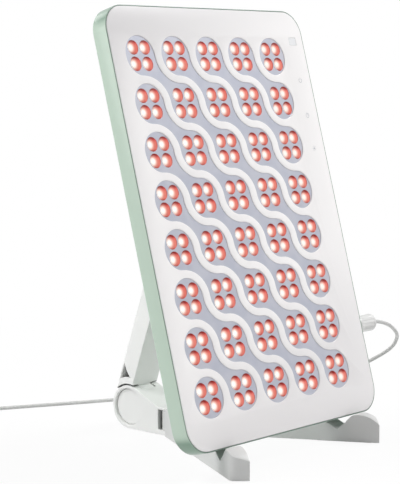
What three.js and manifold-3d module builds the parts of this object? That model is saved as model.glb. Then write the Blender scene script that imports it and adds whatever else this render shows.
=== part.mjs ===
// Light therapy lamp: a slim panel of 160 red lenses on a folding easel stand.
// Millimetres, +Z up, X to the right of someone facing the lamp, Y away from them.
// The origin is on the table, midway between the toe tips and the back of the hub.
import * as THREE from 'three';
import { mergeVertices } from 'three/addons/utils/BufferGeometryUtils.js';
import Module from 'manifold-3d';

const wasm = await Module();
wasm.setup();

// Shared clearances and counts
const restGap = 0.3;
const runGap = 0.4;
const seatGap = 0.5;
const overrun = 5;
const quarterSteps = 4;
const neckSteps = 3;
const cornerSteps = 3;
const edgeSteps = 2;
const ventSteps = 1;
const arcSteps = 7;
const roundSides = 28;
const smallSides = 12;
const screwSides = 8;

// Lens field
const columns = 5;
const rows = 8;
const columnPitch = 46;
const rowPitch = 44;
const padRadius = 18.4;
const lensPitch = 15;
const lensRadius = 6.7;
const lensRise = 2.6;
const lensSides = 7;
const lensShoulderShares = [0.66, 0.72];
const sheetMargin = 4;

// Panel
const marginLeft = 37;
const marginRight = 53;
const marginTop = 46.5;
const marginBottom = 46.5;
const panelWidth = marginLeft + (columns - 1) * columnPitch + marginRight;
const panelHeight = marginBottom + (rows - 1) * rowPitch + marginTop;
const panelDepth = 17.5;
const panelCorner = 24;
const panelLean = THREE.MathUtils.degToRad(15.3);

// Panel shells and boards, from the front face back
const rimWall = 0.9;
const rimSet = 0.3;
const frontSlab = 1.5;
const frontPlate = 3;
const frontBevel = 0.8;
const frameWall = 2.2;
const lensWeb = 1.2;
const boardThickness = 1.6;
const emitterSize = 26;
const emitterRise = 0.6;
const spreaderThickness = 2;
const finHeight = 4.2;
const finThickness = 1.6;
const finPitch = 20;
const coverThickness = 2;
const edgeRadius = 1.6;
const finLow = 118;
const finFromTop = 24;
const finsEachSide = 5;
const bossRadius = 4.6;
const bossBite = 1.2;
const screwRadius = 1.5;
const screwHeadRadius = 2.9;
const screwHeadHeight = 1.6;
const screwLength = 5.5;
const screwSink = 1.2;

// Vents in the rear cover
const ventWidth = 3;
const ventLength = 34;
const ventPitch = 9;
const ventCount = 9;
const ventFromTop = 46;
const ventFromBottom = 122;
const ventClipShare = 0.3;

// Touch strip to the right of the lenses
const touchWidth = 16;
const touchLength = 128;
const touchThickness = 1.2;
const touchFromRight = 17;
const windowWidth = 11;
const windowHeight = 8;
const windowRound = 1;
const windowDepth = 0.8;
const windowThickness = 0.4;
const windowFromTop = 31;

// Driver board at the bottom of the panel
const driverWidth = 96;
const driverHeight = 40;
const driverRight = 104;
const driverDrop = 12;
const canRadius = 4;
const canPlaceShares = [[0.3, 0.25], [0.3, -0.25], [0.82, 0.2]];
const chokeShare = 0.55;
const chokeSize = 14;
const headerWidth = 9;
const innerLeadRadius = 1.2;
const innerLeadSteps = 6;

// Folding stand
const baseLength = 244;
const hubWidth = 35;
const barrelRadius = 21.5;
const footProud = 0.8;
const footRecess = 0.9;
const capRadius = 18;
const capRecess = 2.5;
const capThickness = 2.2;
const capRound = 1.4;
const knuckleWidth = 17;
const washerThickness = 0.8;
const washerRadius = 11;
const hingePinRadius = 4;
const hubShoulder = 27.8;
const hubPadWidth = 24;
const hubPadLength = 22;
const earTop = 2.5;
const earBottom = 4.7;

// Legs
const legSplay = THREE.MathUtils.degToRad(28.7);
const legThickness = 16;
const legPinFromBarrel = 48.5;
const legPinSpacing = 18.4;
const legPinRadius = 2.5;
const toeHeight = 26.8;
const toeArcRadius = 27.2;
const toeArcCentre = 20;
const toeArcBackShare = 0.45;
const toeSkew = THREE.MathUtils.degToRad(19);
const toeFillet = 5;
const saddleHeight = 18.9;
const rampStart = 8;
const rampLength = 52;
const panelFromToe = 30.4;
const notchFloor = 12.3;
const notchFromPanel = 4.9;
const notchFrontSlope = THREE.MathUtils.degToRad(49);
const notchRearSlope = THREE.MathUtils.degToRad(35);
const legWall = 3;
const legPocketHeight = 8;
const padMargin = 2.5;
const toePadLength = 52;

// Strut
const strutLean = THREE.MathUtils.degToRad(19.5);
const strutWall = 2.5;
const strutRearWall = 1.5;
const strutFront = 1.6;
const strutRear = 20.8;
const collarOuter = 29.5;
const collarGap = 0.6;
const knuckleRadius = 21;
const strutHeel = 11;
const strutNeck = 24;
const strutCutHeight = 38.5;
const strutCutFront = 6.7;
const topArmShare = 0.7;
const topKnuckleRadius = 7;
const topKnuckleWidth = 16;
const topPinRadius = 3;

// Bracket on the back of the panel
const bracketHeight = 44;
const bracketBase = 3;
const bracketEar = 4;
const bracketStandoff = 11;
const bracketScrewEdge = 6;
const bracketScrewSpacing = 9;
const earFootShare = 0.7;

// Supply lead
const cordRadius = 1.85;
const cordSides = 8;
const plugRadius = 8.5;
const plugLength = 25;
const plugNeck = 6;
const plugNeckRadius = 3.4;
const plugRibs = 14;
const plugRibDepth = 0.5;
const plugShoulderShare = 0.8;
const ribFromShare = 0.3;
const ribToShare = 0.75;
const plugHeight = 84;
const tipRadius = 2.7;
const tipLength = 9;
const socketRadius = 5;
const socketLength = 14;
const coilTurns = 6;
const coilPitch = 4.3;
const coilMiddleRadius = 21;
const coilSteps = 24;
const coilSides = 6;
const climbTurnShare = 0.5;
const leadSteps = 56;
const tailSteps = 8;
const tailLiftShare = 0.8;
const adapterLength = 56;
const adapterWidth = 40;
const adapterHeight = 26;
const adapterRound = 4;
const adapterNeck = 14;
const adapterNeckRadius = 3.6;
const adapterNeckHeight = 7;
const adapterBevel = 2;
const neckShare = 0.7;
const bladeSeat = 6;
const bladeLength = 16;
const bladeWidth = 6.3;
const bladeThickness = 1.5;
const bladeSpacing = 12.7;
const tailLength = 38;

// Places worked out from the sizes
const frontInset = rimWall + restGap;
const barrelY = baseLength / 2 - barrelRadius;
const barrelZ = footProud + barrelRadius;
const strutMid = (strutFront + strutRear) / 2;
const panelLowZ = saddleHeight + seatGap;
const panelFrontY = -baseLength / 2 + panelFromToe;
const panelFrontZ = panelLowZ + panelDepth * Math.sin(panelLean);
const backY = panelFrontY + panelDepth * Math.cos(panelLean);
const backZ = panelLowZ;
const behind = [Math.cos(panelLean), -Math.sin(panelLean)];
const strutBack = [Math.cos(strutLean), Math.sin(strutLean)];
const strutUp = [-Math.sin(strutLean), Math.cos(strutLean)];
const startGap = (barrelY + strutMid * strutBack[0] - backY) * behind[0]
  + (barrelZ + strutMid * strutBack[1] - backZ) * behind[1];
const closing = -(strutUp[0] * behind[0] + strutUp[1] * behind[1]);
const strutLength = (startGap - bracketStandoff) / closing;
const pivotY = barrelY + strutMid * strutBack[0] + strutLength * strutUp[0];
const pivotZ = barrelZ + strutMid * strutBack[1] + strutLength * strutUp[1];
const pivotHeight = (pivotY - panelFrontY) * Math.sin(panelLean)
  + (pivotZ - panelFrontZ) * Math.cos(panelLean);
const legPinY = barrelY - legPinFromBarrel;
const legPinX = legPinSpacing / 2;
const hubFrontY = legPinY + legThickness / 2 + runGap;
const legLength = (legPinY + baseLength / 2 - legThickness / 2 * Math.sin(legSplay)) / Math.cos(legSplay);
const touchX = panelWidth / 2 - touchFromRight;
const columnX = (column) => -panelWidth / 2 + marginLeft + column * columnPitch;
const rowZ = (row) => panelHeight - marginTop - row * rowPitch;

// Depths of the layers behind the front face
const webFront = frontPlate + restGap;
const webBack = webFront + lensWeb;
const emitterFront = webBack + restGap;
const boardFront = emitterFront + emitterRise;
const boardBack = boardFront + boardThickness;
const spreaderFront = boardBack + restGap;
const spreaderBack = spreaderFront + spreaderThickness;
const coverFront = panelDepth - coverThickness;
const finBack = Math.min(spreaderBack + finHeight, coverFront - restGap);

// Solid modelling helpers
function toSolid(geometry) {
  const bare = geometry.clone();
  bare.deleteAttribute('normal');
  bare.deleteAttribute('uv');
  const merged = mergeVertices(bare, 1e-4);
  const vertices = new Float32Array(merged.attributes.position.array);
  const triangles = new Uint32Array(merged.index.array);
  const solid = new wasm.Manifold(
    new wasm.Mesh({ numProp: 3, vertProperties: vertices, triVerts: triangles }));
  if (solid.volume() > 0) return solid;
  return new wasm.Manifold(
    new wasm.Mesh({ numProp: 3, vertProperties: vertices, triVerts: triangles.reverse() }));
}

function toGeometry(solid) {
  const mesh = solid.getMesh();
  const geometry = new THREE.BufferGeometry();
  geometry.setAttribute('position', new THREE.BufferAttribute(new Float32Array(mesh.vertProperties), 3));
  geometry.setIndex(new THREE.BufferAttribute(new Uint32Array(mesh.triVerts), 1));
  geometry.computeVertexNormals();
  return geometry;
}

function join(...solids) {
  return solids.reduce((sum, solid) => sum.add(solid));
}

function joinAll(solids) {
  return wasm.Manifold.union(solids);
}

function cut(body, ...tools) {
  return tools.length ? body.subtract(joinAll(tools)) : body;
}

function around(middle, size) {
  return [middle - size / 2, middle + size / 2];
}

function box(xRange, yRange, zRange) {
  const geometry = new THREE.BoxGeometry(
    xRange[1] - xRange[0], yRange[1] - yRange[0], zRange[1] - zRange[0]);
  geometry.translate(
    (xRange[0] + xRange[1]) / 2, (yRange[0] + yRange[1]) / 2, (zRange[0] + zRange[1]) / 2);
  return toSolid(geometry);
}

// A round bar along x, y or z between two places on that axis
function bar(axis, radius, from, to, place = [0, 0], sides = roundSides) {
  const geometry = new THREE.CylinderGeometry(radius, radius, to - from, sides);
  geometry.translate(0, (from + to) / 2, 0);
  if (axis === 'x') {
    geometry.rotateZ(-Math.PI / 2);
    geometry.translate(0, place[0], place[1]);
  } else if (axis === 'z') {
    geometry.rotateX(Math.PI / 2);
    geometry.translate(place[0], place[1], 0);
  } else {
    geometry.translate(place[0], 0, place[1]);
  }
  return toSolid(geometry);
}

function flat(shape, depth, steps = quarterSteps) {
  return new THREE.ExtrudeGeometry(shape, { depth, bevelEnabled: false, curveSegments: steps });
}

// An outline drawn in X and Z, given thickness along Y
function facing(shape, from, to, steps) {
  const geometry = flat(shape, to - from, steps);
  geometry.rotateX(Math.PI / 2);
  geometry.translate(0, to, 0);
  return toSolid(geometry);
}

// An outline drawn in Y and Z, given thickness along X
function sidewaysGeometry(shape, from, to, steps) {
  const geometry = flat(shape, to - from, steps);
  return geometry.applyMatrix4(new THREE.Matrix4().set(0, 0, 1, from, 1, 0, 0, 0, 0, 1, 0, 0, 0, 0, 0, 1));
}

function sideways(shape, from, to, steps) {
  return toSolid(sidewaysGeometry(shape, from, to, steps));
}

function turned(geometry, angle) {
  return toSolid(geometry.rotateZ(angle));
}

// A round section swept along a curve
function sweep(curve, radius, sides, steps) {
  const section = new THREE.Shape();
  for (let side = 0; side < sides; side += 1) {
    const turn = side / sides * 2 * Math.PI;
    const corner = [radius * Math.cos(turn), radius * Math.sin(turn)];
    if (side) section.lineTo(...corner);
    else section.moveTo(...corner);
  }
  return toSolid(new THREE.ExtrudeGeometry(section, { steps, extrudePath: curve, bevelEnabled: false }));
}

// An outline drawn in X and Y, given height along Z
function upright(shape, from, to, steps) {
  const geometry = flat(shape, to - from, steps);
  geometry.translate(0, 0, from);
  return toSolid(geometry);
}

function roundedOutline(width, height, radius, centreX = 0, centreY = 0) {
  const left = centreX - width / 2;
  const right = centreX + width / 2;
  const low = centreY - height / 2;
  const high = centreY + height / 2;
  const shape = new THREE.Shape();
  shape.moveTo(right, low + radius);
  shape.lineTo(right, high - radius);
  shape.absarc(right - radius, high - radius, radius, 0, Math.PI / 2, false);
  shape.lineTo(left + radius, high);
  shape.absarc(left + radius, high - radius, radius, Math.PI / 2, Math.PI, false);
  shape.lineTo(left, low + radius);
  shape.absarc(left + radius, low + radius, radius, Math.PI, Math.PI * 1.5, false);
  shape.lineTo(right - radius, low);
  shape.absarc(right - radius, low + radius, radius, Math.PI * 1.5, Math.PI * 2, false);
  return shape;
}

function outline(points) {
  const shape = new THREE.Shape();
  points.forEach(([x, y], index) => (index ? shape.lineTo(x, y) : shape.moveTo(x, y)));
  return shape;
}

// Panel outlines share one centre height
function panelOutline(inset, cornerInset = inset) {
  return roundedOutline(
    panelWidth - 2 * inset, panelHeight - 2 * inset, panelCorner - cornerInset, 0, panelHeight / 2);
}

// Materials
function finish(color, roughness, metalness = 0) {
  return new THREE.MeshStandardMaterial({ color, roughness, metalness });
}

const sage = finish(0xb9cdbf, 0.35);
const white = finish(0xf1f1f0, 0.4);
const glossWhite = finish(0xf0efee, 0.15);
const lensRed = finish(0xe0584c, 0.15);
const boardWhite = finish(0xe9ecea, 0.5);
const boardGreen = finish(0x2f6b46, 0.5);
const aluminium = finish(0xb9bcc0, 0.35, 0.9);
const steel = finish(0xb4b6b8, 0.3, 0.9);
const darkGlass = finish(0x8f9196, 0.1);
const black = finish(0x1d1e20, 0.5);
const rubber = finish(0xc9cac8, 0.9);
const leadGrey = finish(0xd9d9d8, 0.5);

const lamp = new THREE.Group();

function add(group, name, solid, material) {
  const mesh = new THREE.Mesh(toGeometry(solid), material);
  mesh.name = name;
  group.add(mesh);
  return mesh;
}

// One wavy window: a diagonal chain of pads joined by S-shaped necks.
// Its sides follow each pad's own circle, then the wider arc round the pad next to the neck.
function arcPoints(centre, radiusX, radiusZ, fromShare, toShare, steps = quarterSteps) {
  const points = [];
  for (let step = 0; step < steps; step += 1) {
    const turn = (fromShare + (toShare - fromShare) * step / steps) * 2 * Math.PI;
    points.push([centre[0] + radiusX * Math.cos(turn), centre[1] + radiusZ * Math.sin(turn)]);
  }
  return points;
}

function waveOutline(firstColumn, firstRow, count) {
  const pad = (step, aside = 0, below = 0) => [
    columnX(firstColumn + step + aside), rowZ(firstRow + step + below)];
  const neckX = columnPitch - padRadius;
  const neckZ = rowPitch - padRadius;
  const points = [];
  for (let step = 0; step < count; step += 1) {
    points.push(...arcPoints(pad(step), padRadius, padRadius, 1 / 4, 0));
    if (step < count - 1) points.push(...arcPoints(pad(step, 1), neckX, neckZ, 1 / 2, 3 / 4, neckSteps));
  }
  points.push(...arcPoints(pad(count - 1), padRadius, padRadius, 0, -1 / 4));
  for (let step = count - 1; step >= 0; step -= 1) {
    points.push(...arcPoints(pad(step), padRadius, padRadius, 3 / 4, 1 / 2));
    if (step > 0) points.push(...arcPoints(pad(step - 1, 0, 1), neckX, neckZ, 0, 1 / 4, neckSteps));
  }
  points.push(...arcPoints(pad(0), padRadius, padRadius, 1 / 2, 1 / 4));
  return points;
}

function waveStarts() {
  const starts = [];
  for (let column = 0; column < columns; column += 1) starts.push([column, 0]);
  for (let row = 1; row < rows; row += 1) starts.push([0, row]);
  return starts;
}

const waves = waveStarts().map(([column, row]) => waveOutline(
  column, row, Math.min(columns - column, rows - row)));

function frontPlateSolid() {
  const bevelled = new THREE.ExtrudeGeometry(panelOutline(frontInset + frontBevel), {
    depth: frontSlab,
    bevelThickness: frontBevel,
    bevelSize: frontBevel,
    bevelSegments: 1,
    curveSegments: cornerSteps,
  });
  bevelled.rotateX(Math.PI / 2);
  bevelled.translate(0, frontSlab + frontBevel, 0);
  const face = toSolid(bevelled).intersect(
    box([-panelWidth, panelWidth], [-overrun, frontSlab], [-overrun, panelHeight + overrun]));
  const rim = facing(panelOutline(frameWall + restGap), frontSlab - frontBevel, frontPlate, cornerSteps);
  const openings = waves.map((points) => facing(outline(points), -overrun, frontPlate + overrun));
  const windowSeat = facing(
    roundedOutline(windowWidth, windowHeight, windowRound, touchX, panelHeight - windowFromTop),
    -overrun, windowDepth, ventSteps);
  return cut(join(face, rim), windowSeat, ...openings);
}

function lensSheetSolid() {
  const right = columnX(columns - 1) + padRadius + sheetMargin;
  const web = facing(panelOutline(frameWall + restGap), webFront, webBack, cornerSteps).intersect(
    box([-panelWidth, right], [0, panelDepth], [0, panelHeight]));
  const shoulder = [lensRadius * lensShoulderShares[0], lensRise * lensShoulderShares[1]];
  const profile = [[0, -lensWeb / 2], [lensRadius, -lensWeb / 2], [lensRadius, 0], shoulder, [0, lensRise]];
  const domeGeometry = new THREE.LatheGeometry(
    profile.map(([radius, height]) => new THREE.Vector2(radius, height)), lensSides);
  domeGeometry.rotateX(Math.PI);
  domeGeometry.rotateY(Math.PI / lensSides);
  const domes = [];
  for (let column = 0; column < columns; column += 1) {
    for (let row = 0; row < rows; row += 1) {
      for (const [aside, above] of [[-1, -1], [1, -1], [-1, 1], [1, 1]]) {
        const dome = domeGeometry.clone();
        dome.translate(
          columnX(column) + aside * lensPitch / 2, webFront, rowZ(row) + above * lensPitch / 2);
        domes.push(toSolid(dome));
      }
    }
  }
  return joinAll([web, ...domes]);
}

function ledBoardSolid() {
  const right = columnX(columns - 1) + padRadius + sheetMargin;
  const board = facing(panelOutline(frameWall + restGap), boardFront, boardBack, cornerSteps).intersect(
    box([-panelWidth, right], [0, panelDepth], [0, panelHeight]));
  const emitters = [];
  for (let column = 0; column < columns; column += 1) {
    for (let row = 0; row < rows; row += 1) {
      emitters.push(box(
        around(columnX(column), emitterSize), [emitterFront, boardBack], around(rowZ(row), emitterSize)));
    }
  }
  return joinAll([board, ...emitters]);
}

// Aluminium back plate with upright fins above the driver board
function heatSpreaderSolid() {
  const plate = facing(panelOutline(frameWall + restGap), spreaderFront, spreaderBack, cornerSteps);
  const fins = [];
  for (let x = -finPitch * finsEachSide; x <= finPitch * finsEachSide; x += finPitch) {
    fins.push(box(around(x, finThickness), [spreaderFront, finBack], [finLow, panelHeight - finFromTop]));
  }
  const socketRoom = box(
    [driverRight, panelWidth],
    [0, panelDepth],
    [plugHeight - driverDrop - sheetMargin, plugHeight + socketRadius + sheetMargin]);
  return cut(joinAll([plate, ...fins]), socketRoom);
}

function bossPlaces() {
  const reach = (panelCorner - frameWall - bossRadius + bossBite) * Math.SQRT1_2;
  const corner = panelWidth / 2 - panelCorner + reach;
  const cornerZ = panelHeight / 2 - panelCorner + reach;
  const side = panelWidth / 2 - frameWall - bossRadius + bossBite;
  const middle = panelHeight / 2;
  return [
    [-corner, middle - cornerZ], [corner, middle - cornerZ], [-side, middle],
    [side, middle], [-corner, middle + cornerZ], [corner, middle + cornerZ],
  ];
}

function sideFrameSolid() {
  const rounded = new THREE.ExtrudeGeometry(panelOutline(edgeRadius), {
    depth: panelDepth,
    bevelThickness: edgeRadius,
    bevelSize: edgeRadius,
    bevelSegments: edgeSteps,
    curveSegments: cornerSteps,
  });
  rounded.rotateX(Math.PI / 2);
  rounded.translate(0, panelDepth - edgeRadius, 0);
  const shell = toSolid(rounded).intersect(box(
    [-panelWidth, panelWidth],
    [rimSet, panelDepth + overrun],
    [-overrun, panelHeight + overrun]));
  const inside = facing(panelOutline(frameWall), -overrun, panelDepth + overrun, cornerSteps);
  const plateSeat = facing(panelOutline(rimWall), -overrun, frontSlab + restGap, cornerSteps);
  const bosses = bossPlaces().map((place) => bar(
    'y', bossRadius, spreaderBack + restGap, coverFront - restGap, place, smallSides));
  const holes = bossPlaces().map((place) => bar(
    'y', screwRadius + restGap, spreaderBack + boardThickness, panelDepth, place, screwSides));
  const socketHole = bar(
    'x', socketRadius + restGap, panelWidth / 2 - panelCorner, panelWidth, [panelDepth / 2, plugHeight]);
  const ring = cut(shell, inside, plateSeat);
  return cut(joinAll([ring, ...bosses]), socketHole, ...holes).intersect(facing(
    panelOutline(0), -overrun, panelDepth + overrun, cornerSteps));
}

// An upright slot with clipped corners
function ventOutline(x, z) {
  const clip = ventWidth * ventClipShare;
  const half = ventWidth / 2;
  const tall = ventLength / 2;
  return outline([
    [x - half, z - tall + clip], [x - half + clip, z - tall], [x + half - clip, z - tall],
    [x + half, z - tall + clip], [x + half, z + tall - clip], [x + half - clip, z + tall],
    [x - half + clip, z + tall], [x - half, z + tall - clip],
  ]);
}

function rearCoverSolid() {
  const cover = facing(panelOutline(frameWall + restGap), coverFront, panelDepth, cornerSteps);
  const vents = [];
  const start = -(ventCount - 1) / 2 * ventPitch;
  for (const z of [panelHeight - ventFromTop - ventLength / 2, ventFromBottom + ventLength / 2]) {
    for (let index = 0; index < ventCount; index += 1) {
      vents.push(facing(
        ventOutline(start + index * ventPitch, z), coverFront - overrun, panelDepth + overrun));
    }
  }
  const holes = [];
  for (const place of bossPlaces()) {
    holes.push(bar('y', screwRadius + restGap, 0, panelDepth + overrun, place, screwSides));
    holes.push(bar(
      'y', screwHeadRadius + restGap, panelDepth - screwSink, panelDepth + overrun, place, screwSides));
  }
  for (const place of bracketScrewPlaces()) {
    holes.push(bar('y', screwRadius + restGap, 0, panelDepth + overrun, place, screwSides));
  }
  return cut(cover, ...vents, ...holes);
}

function screwSolid(place, headFront) {
  const head = bar('y', screwHeadRadius, headFront, headFront + screwHeadHeight, place, screwSides);
  const shank = bar(
    'y', screwRadius, headFront - screwLength, headFront + screwHeadHeight / 2, place, screwSides);
  return join(head, shank);
}

// Touch keys and display sit behind the right-hand margin
function touchBoardSolid() {
  const low = panelHeight - windowFromTop + windowHeight - touchLength;
  return facing(
    roundedOutline(touchWidth, touchLength, touchThickness, touchX, low + touchLength / 2),
    webFront, webFront + touchThickness, ventSteps);
}

function displayWindowSolid() {
  return facing(
    roundedOutline(
      windowWidth - 2 * restGap, windowHeight - 2 * restGap, windowRound,
      touchX, panelHeight - windowFromTop),
    windowDepth - restGap - windowThickness, windowDepth - restGap, ventSteps);
}

function driverBoardSolid() {
  const front = spreaderBack + restGap;
  const face = front + boardThickness;
  const top = coverFront - restGap;
  const board = box(
    [driverRight - driverWidth, driverRight], [front, face], around(plugHeight - driverDrop, driverHeight));
  const cans = canPlaceShares.map(([across, up]) => bar(
    'y', canRadius, front, top,
    [driverRight - driverWidth * across, plugHeight - driverDrop + driverHeight * up], smallSides));
  const coil = box(
    around(driverRight - driverWidth * chokeShare, chokeSize), [front, top],
    around(plugHeight - driverDrop, chokeSize));
  const header = box(
    [driverRight - headerWidth, driverRight], [front, top],
    around(plugHeight - driverDrop, headerWidth));
  return joinAll([board, coil, header, ...cans]);
}

function dcSocketSolid() {
  const place = [panelDepth / 2, plugHeight];
  const outer = panelWidth / 2 - restGap;
  const body = bar('x', socketRadius, outer - socketLength, outer, place, smallSides);
  const bore = bar('x', tipRadius + runGap, outer - tipLength, outer + overrun, place, smallSides);
  return cut(body, bore);
}

function innerLeadSolid() {
  const start = [panelWidth / 2 - restGap - socketLength - restGap, panelDepth / 2, plugHeight];
  const end = [driverRight + restGap, (spreaderBack + coverFront) / 2, plugHeight - driverDrop];
  const bend = (start[0] - end[0]) / 2;
  const path = new THREE.CubicBezierCurve3(
    new THREE.Vector3(...start),
    new THREE.Vector3(start[0] - bend, start[1], start[2]),
    new THREE.Vector3(end[0] + bend, end[1], end[2]),
    new THREE.Vector3(...end));
  return sweep(path, innerLeadRadius, coilSides, innerLeadSteps);
}

// Bracket ears, in the panel's frame
const earInner = topKnuckleWidth / 2 + 2 * restGap + washerThickness;
const earOuter = earInner + bracketEar;
const pivotDepth = panelDepth + bracketStandoff;

function bracketScrewPlaces() {
  const up = bracketHeight / 2 - bracketScrewEdge;
  const places = [];
  for (const aside of [-1, 1]) {
    for (const above of [-1, 1]) places.push([aside * bracketScrewSpacing / 2, pivotHeight + above * up]);
  }
  return places;
}

function hingeBracketSolid() {
  const seat = panelDepth + restGap;
  const base = box([-earOuter, earOuter], [seat, seat + bracketBase], around(pivotHeight, bracketHeight));
  const earShape = outline([
    [seat, pivotHeight - bracketHeight / 2 * earFootShare],
    [seat, pivotHeight + bracketHeight / 2 * earFootShare],
    [pivotDepth, pivotHeight + topKnuckleRadius],
    [pivotDepth, pivotHeight - topKnuckleRadius],
  ]);
  const parts = [base];
  for (const [from, to] of [[-earOuter, -earInner], [earInner, earOuter]]) {
    parts.push(sideways(earShape, from, to));
    parts.push(bar('x', topKnuckleRadius, from, to, [pivotDepth, pivotHeight], smallSides));
  }
  const bore = bar(
    'x', topPinRadius + restGap, -panelWidth, panelWidth, [pivotDepth, pivotHeight], smallSides);
  const holes = bracketScrewPlaces().map((place) => bar(
    'y', screwRadius + restGap, 0, pivotDepth, place, screwSides));
  return cut(joinAll(parts), bore, ...holes);
}

// The strut, with its lower hinge axis at the origin and its length along Z
function strutSolid() {
  const half = hubWidth / 2;
  const radius = barrelRadius + collarGap;
  const frontAngle = Math.acos(strutFront / radius);
  const heelY = Math.sqrt(radius * radius - strutHeel * strutHeel);
  const envelope = new THREE.Shape();
  envelope.moveTo(strutFront, radius * Math.sin(frontAngle));
  envelope.absarc(0, 0, radius, frontAngle, Math.atan2(strutHeel, heelY), true);
  envelope.lineTo(strutRear, strutHeel);
  envelope.lineTo(strutRear, strutLength);
  envelope.absarc(strutMid, strutLength, (strutRear - strutFront) / 2, 0, Math.PI, false);

  // A box section above the collar, with its rear lower corner open at both sides
  const floorY = strutFront + strutWall;
  const rearY = strutRear - strutRearWall;
  const floorAngle = Math.acos(floorY / collarOuter);
  const rearAngle = Math.acos(rearY / collarOuter);
  const webTop = strutLength - strutNeck;
  const hollow = new THREE.Shape();
  hollow.moveTo(rearY, collarOuter * Math.sin(rearAngle));
  hollow.absarc(0, 0, collarOuter, rearAngle, floorAngle, false);
  hollow.lineTo(floorY, webTop - strutWall);
  hollow.lineTo(rearY, webTop - strutWall);

  const cornerAngle = Math.acos(strutCutFront / collarOuter);
  const window = new THREE.Shape();
  window.moveTo(rearY, collarOuter * Math.sin(rearAngle));
  window.absarc(0, 0, collarOuter, rearAngle, cornerAngle, false);
  window.quadraticCurveTo(strutMid, collarOuter, rearY, strutCutHeight);

  const inner = half - strutWall;
  const channel = cut(
    sideways(envelope, -half, half, arcSteps),
    sideways(hollow, -inner, inner, arcSteps),
    sideways(window, -half - overrun, half + overrun, arcSteps),
    box([-inner, inner], [0, strutRear + overrun], [webTop, strutLength + strutRear]));
  const topArm = box(
    around(0, topKnuckleWidth), around(strutMid, topKnuckleRadius * 2 * topArmShare),
    [webTop - strutWall / 2, strutLength]);
  const topKnuckle = bar('x', topKnuckleRadius, -topKnuckleWidth / 2, topKnuckleWidth / 2,
    [strutMid, strutLength], smallSides);
  const lowKnuckle = bar('x', knuckleRadius, -knuckleWidth / 2, knuckleWidth / 2, [0, 0]);
  const neck = box(
    around(0, knuckleWidth), [strutFront + restGap, strutRear - strutWall],
    [0, collarOuter * Math.sin(rearAngle)]);
  const neckLimit = bar('x', collarOuter - collarGap, -knuckleWidth, knuckleWidth, [0, 0]);
  const topBore = bar('x', topPinRadius + runGap, -half, half, [strutMid, strutLength], smallSides);
  const lowBore = bar('x', hingePinRadius + runGap, -half, half, [0, 0], smallSides);
  const body = joinAll([channel, topArm, topKnuckle, lowKnuckle, neck.intersect(neckLimit)]);
  return cut(body, topBore, lowBore);
}

// The hub, in the part's own frame
function hubSolid() {
  const half = hubWidth / 2;
  const toFront = [hubFrontY - barrelY, hubShoulder - barrelZ];
  const reach = Math.hypot(...toFront);
  const tangent = Math.atan2(toFront[1], toFront[0]) - Math.acos(barrelRadius / reach);
  const side = new THREE.Shape();
  side.moveTo(hubFrontY, footProud);
  side.lineTo(barrelY, footProud);
  side.absarc(barrelY, barrelZ, barrelRadius, -Math.PI / 2, tangent, false);
  side.lineTo(hubFrontY, hubShoulder);

  const nose = new THREE.Shape();
  const earRadius = half - legPinX;
  nose.moveTo(half, hubFrontY + overrun);
  nose.lineTo(-half, hubFrontY + overrun);
  nose.lineTo(-half, legPinY);
  nose.absarc(-legPinX, legPinY, earRadius, Math.PI, Math.PI * 1.5, false);
  nose.lineTo(legPinX, legPinY - earRadius);
  nose.absarc(legPinX, legPinY, earRadius, Math.PI * 1.5, Math.PI * 2, false);

  const slotHalf = knuckleWidth / 2 + washerThickness + 2 * restGap;
  const capFloor = half - capRecess - capThickness - restGap;
  const cuts = [
    bar('x', barrelRadius + runGap, -slotHalf, slotHalf, [barrelY, barrelZ]),
    bar('x', hingePinRadius + restGap, -half - overrun, half + overrun, [barrelY, barrelZ], smallSides),
    bar('x', capRadius + restGap, -half - overrun, -capFloor, [barrelY, barrelZ]),
    bar('x', capRadius + restGap, capFloor, half + overrun, [barrelY, barrelZ]),
    bar('z', legPinRadius + restGap, -overrun, hubShoulder + overrun, [-legPinX, legPinY], smallSides),
    bar('z', legPinRadius + restGap, -overrun, hubShoulder + overrun, [legPinX, legPinY], smallSides),
    box(
      around(0, hubPadWidth + 2 * restGap),
      [hubFrontY + padMargin - restGap, hubFrontY + padMargin + hubPadLength + restGap],
      [0, footProud + footRecess + restGap]),
  ];
  const body = joinAll([
    sideways(side, -half, half, arcSteps),
    upright(nose, hubShoulder - earTop, hubShoulder, arcSteps),
    upright(nose, footProud, footProud + earBottom, arcSteps),
  ]);
  return cut(body, ...cuts);
}

// A round cap with a chamfered outer edge, on either side of the hub
function endCapSolid(side) {
  const start = hubWidth / 2 - capRecess - capThickness;
  const profile = [
    [0, 0], [capRadius, 0], [capRadius, capThickness - capRound / 2],
    [capRadius - capRound, capThickness], [0, capThickness]];
  const cap = new THREE.LatheGeometry(
    profile.map(([radius, along]) => new THREE.Vector2(radius, along)), roundSides);
  cap.rotateZ(-side * Math.PI / 2);
  cap.translate(side * start, barrelY, barrelZ);
  return toSolid(cap);
}

function hubPadSolid() {
  return box(
    around(0, hubPadWidth), [hubFrontY + padMargin, hubFrontY + padMargin + hubPadLength],
    [0, footProud + footRecess]);
}

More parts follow.
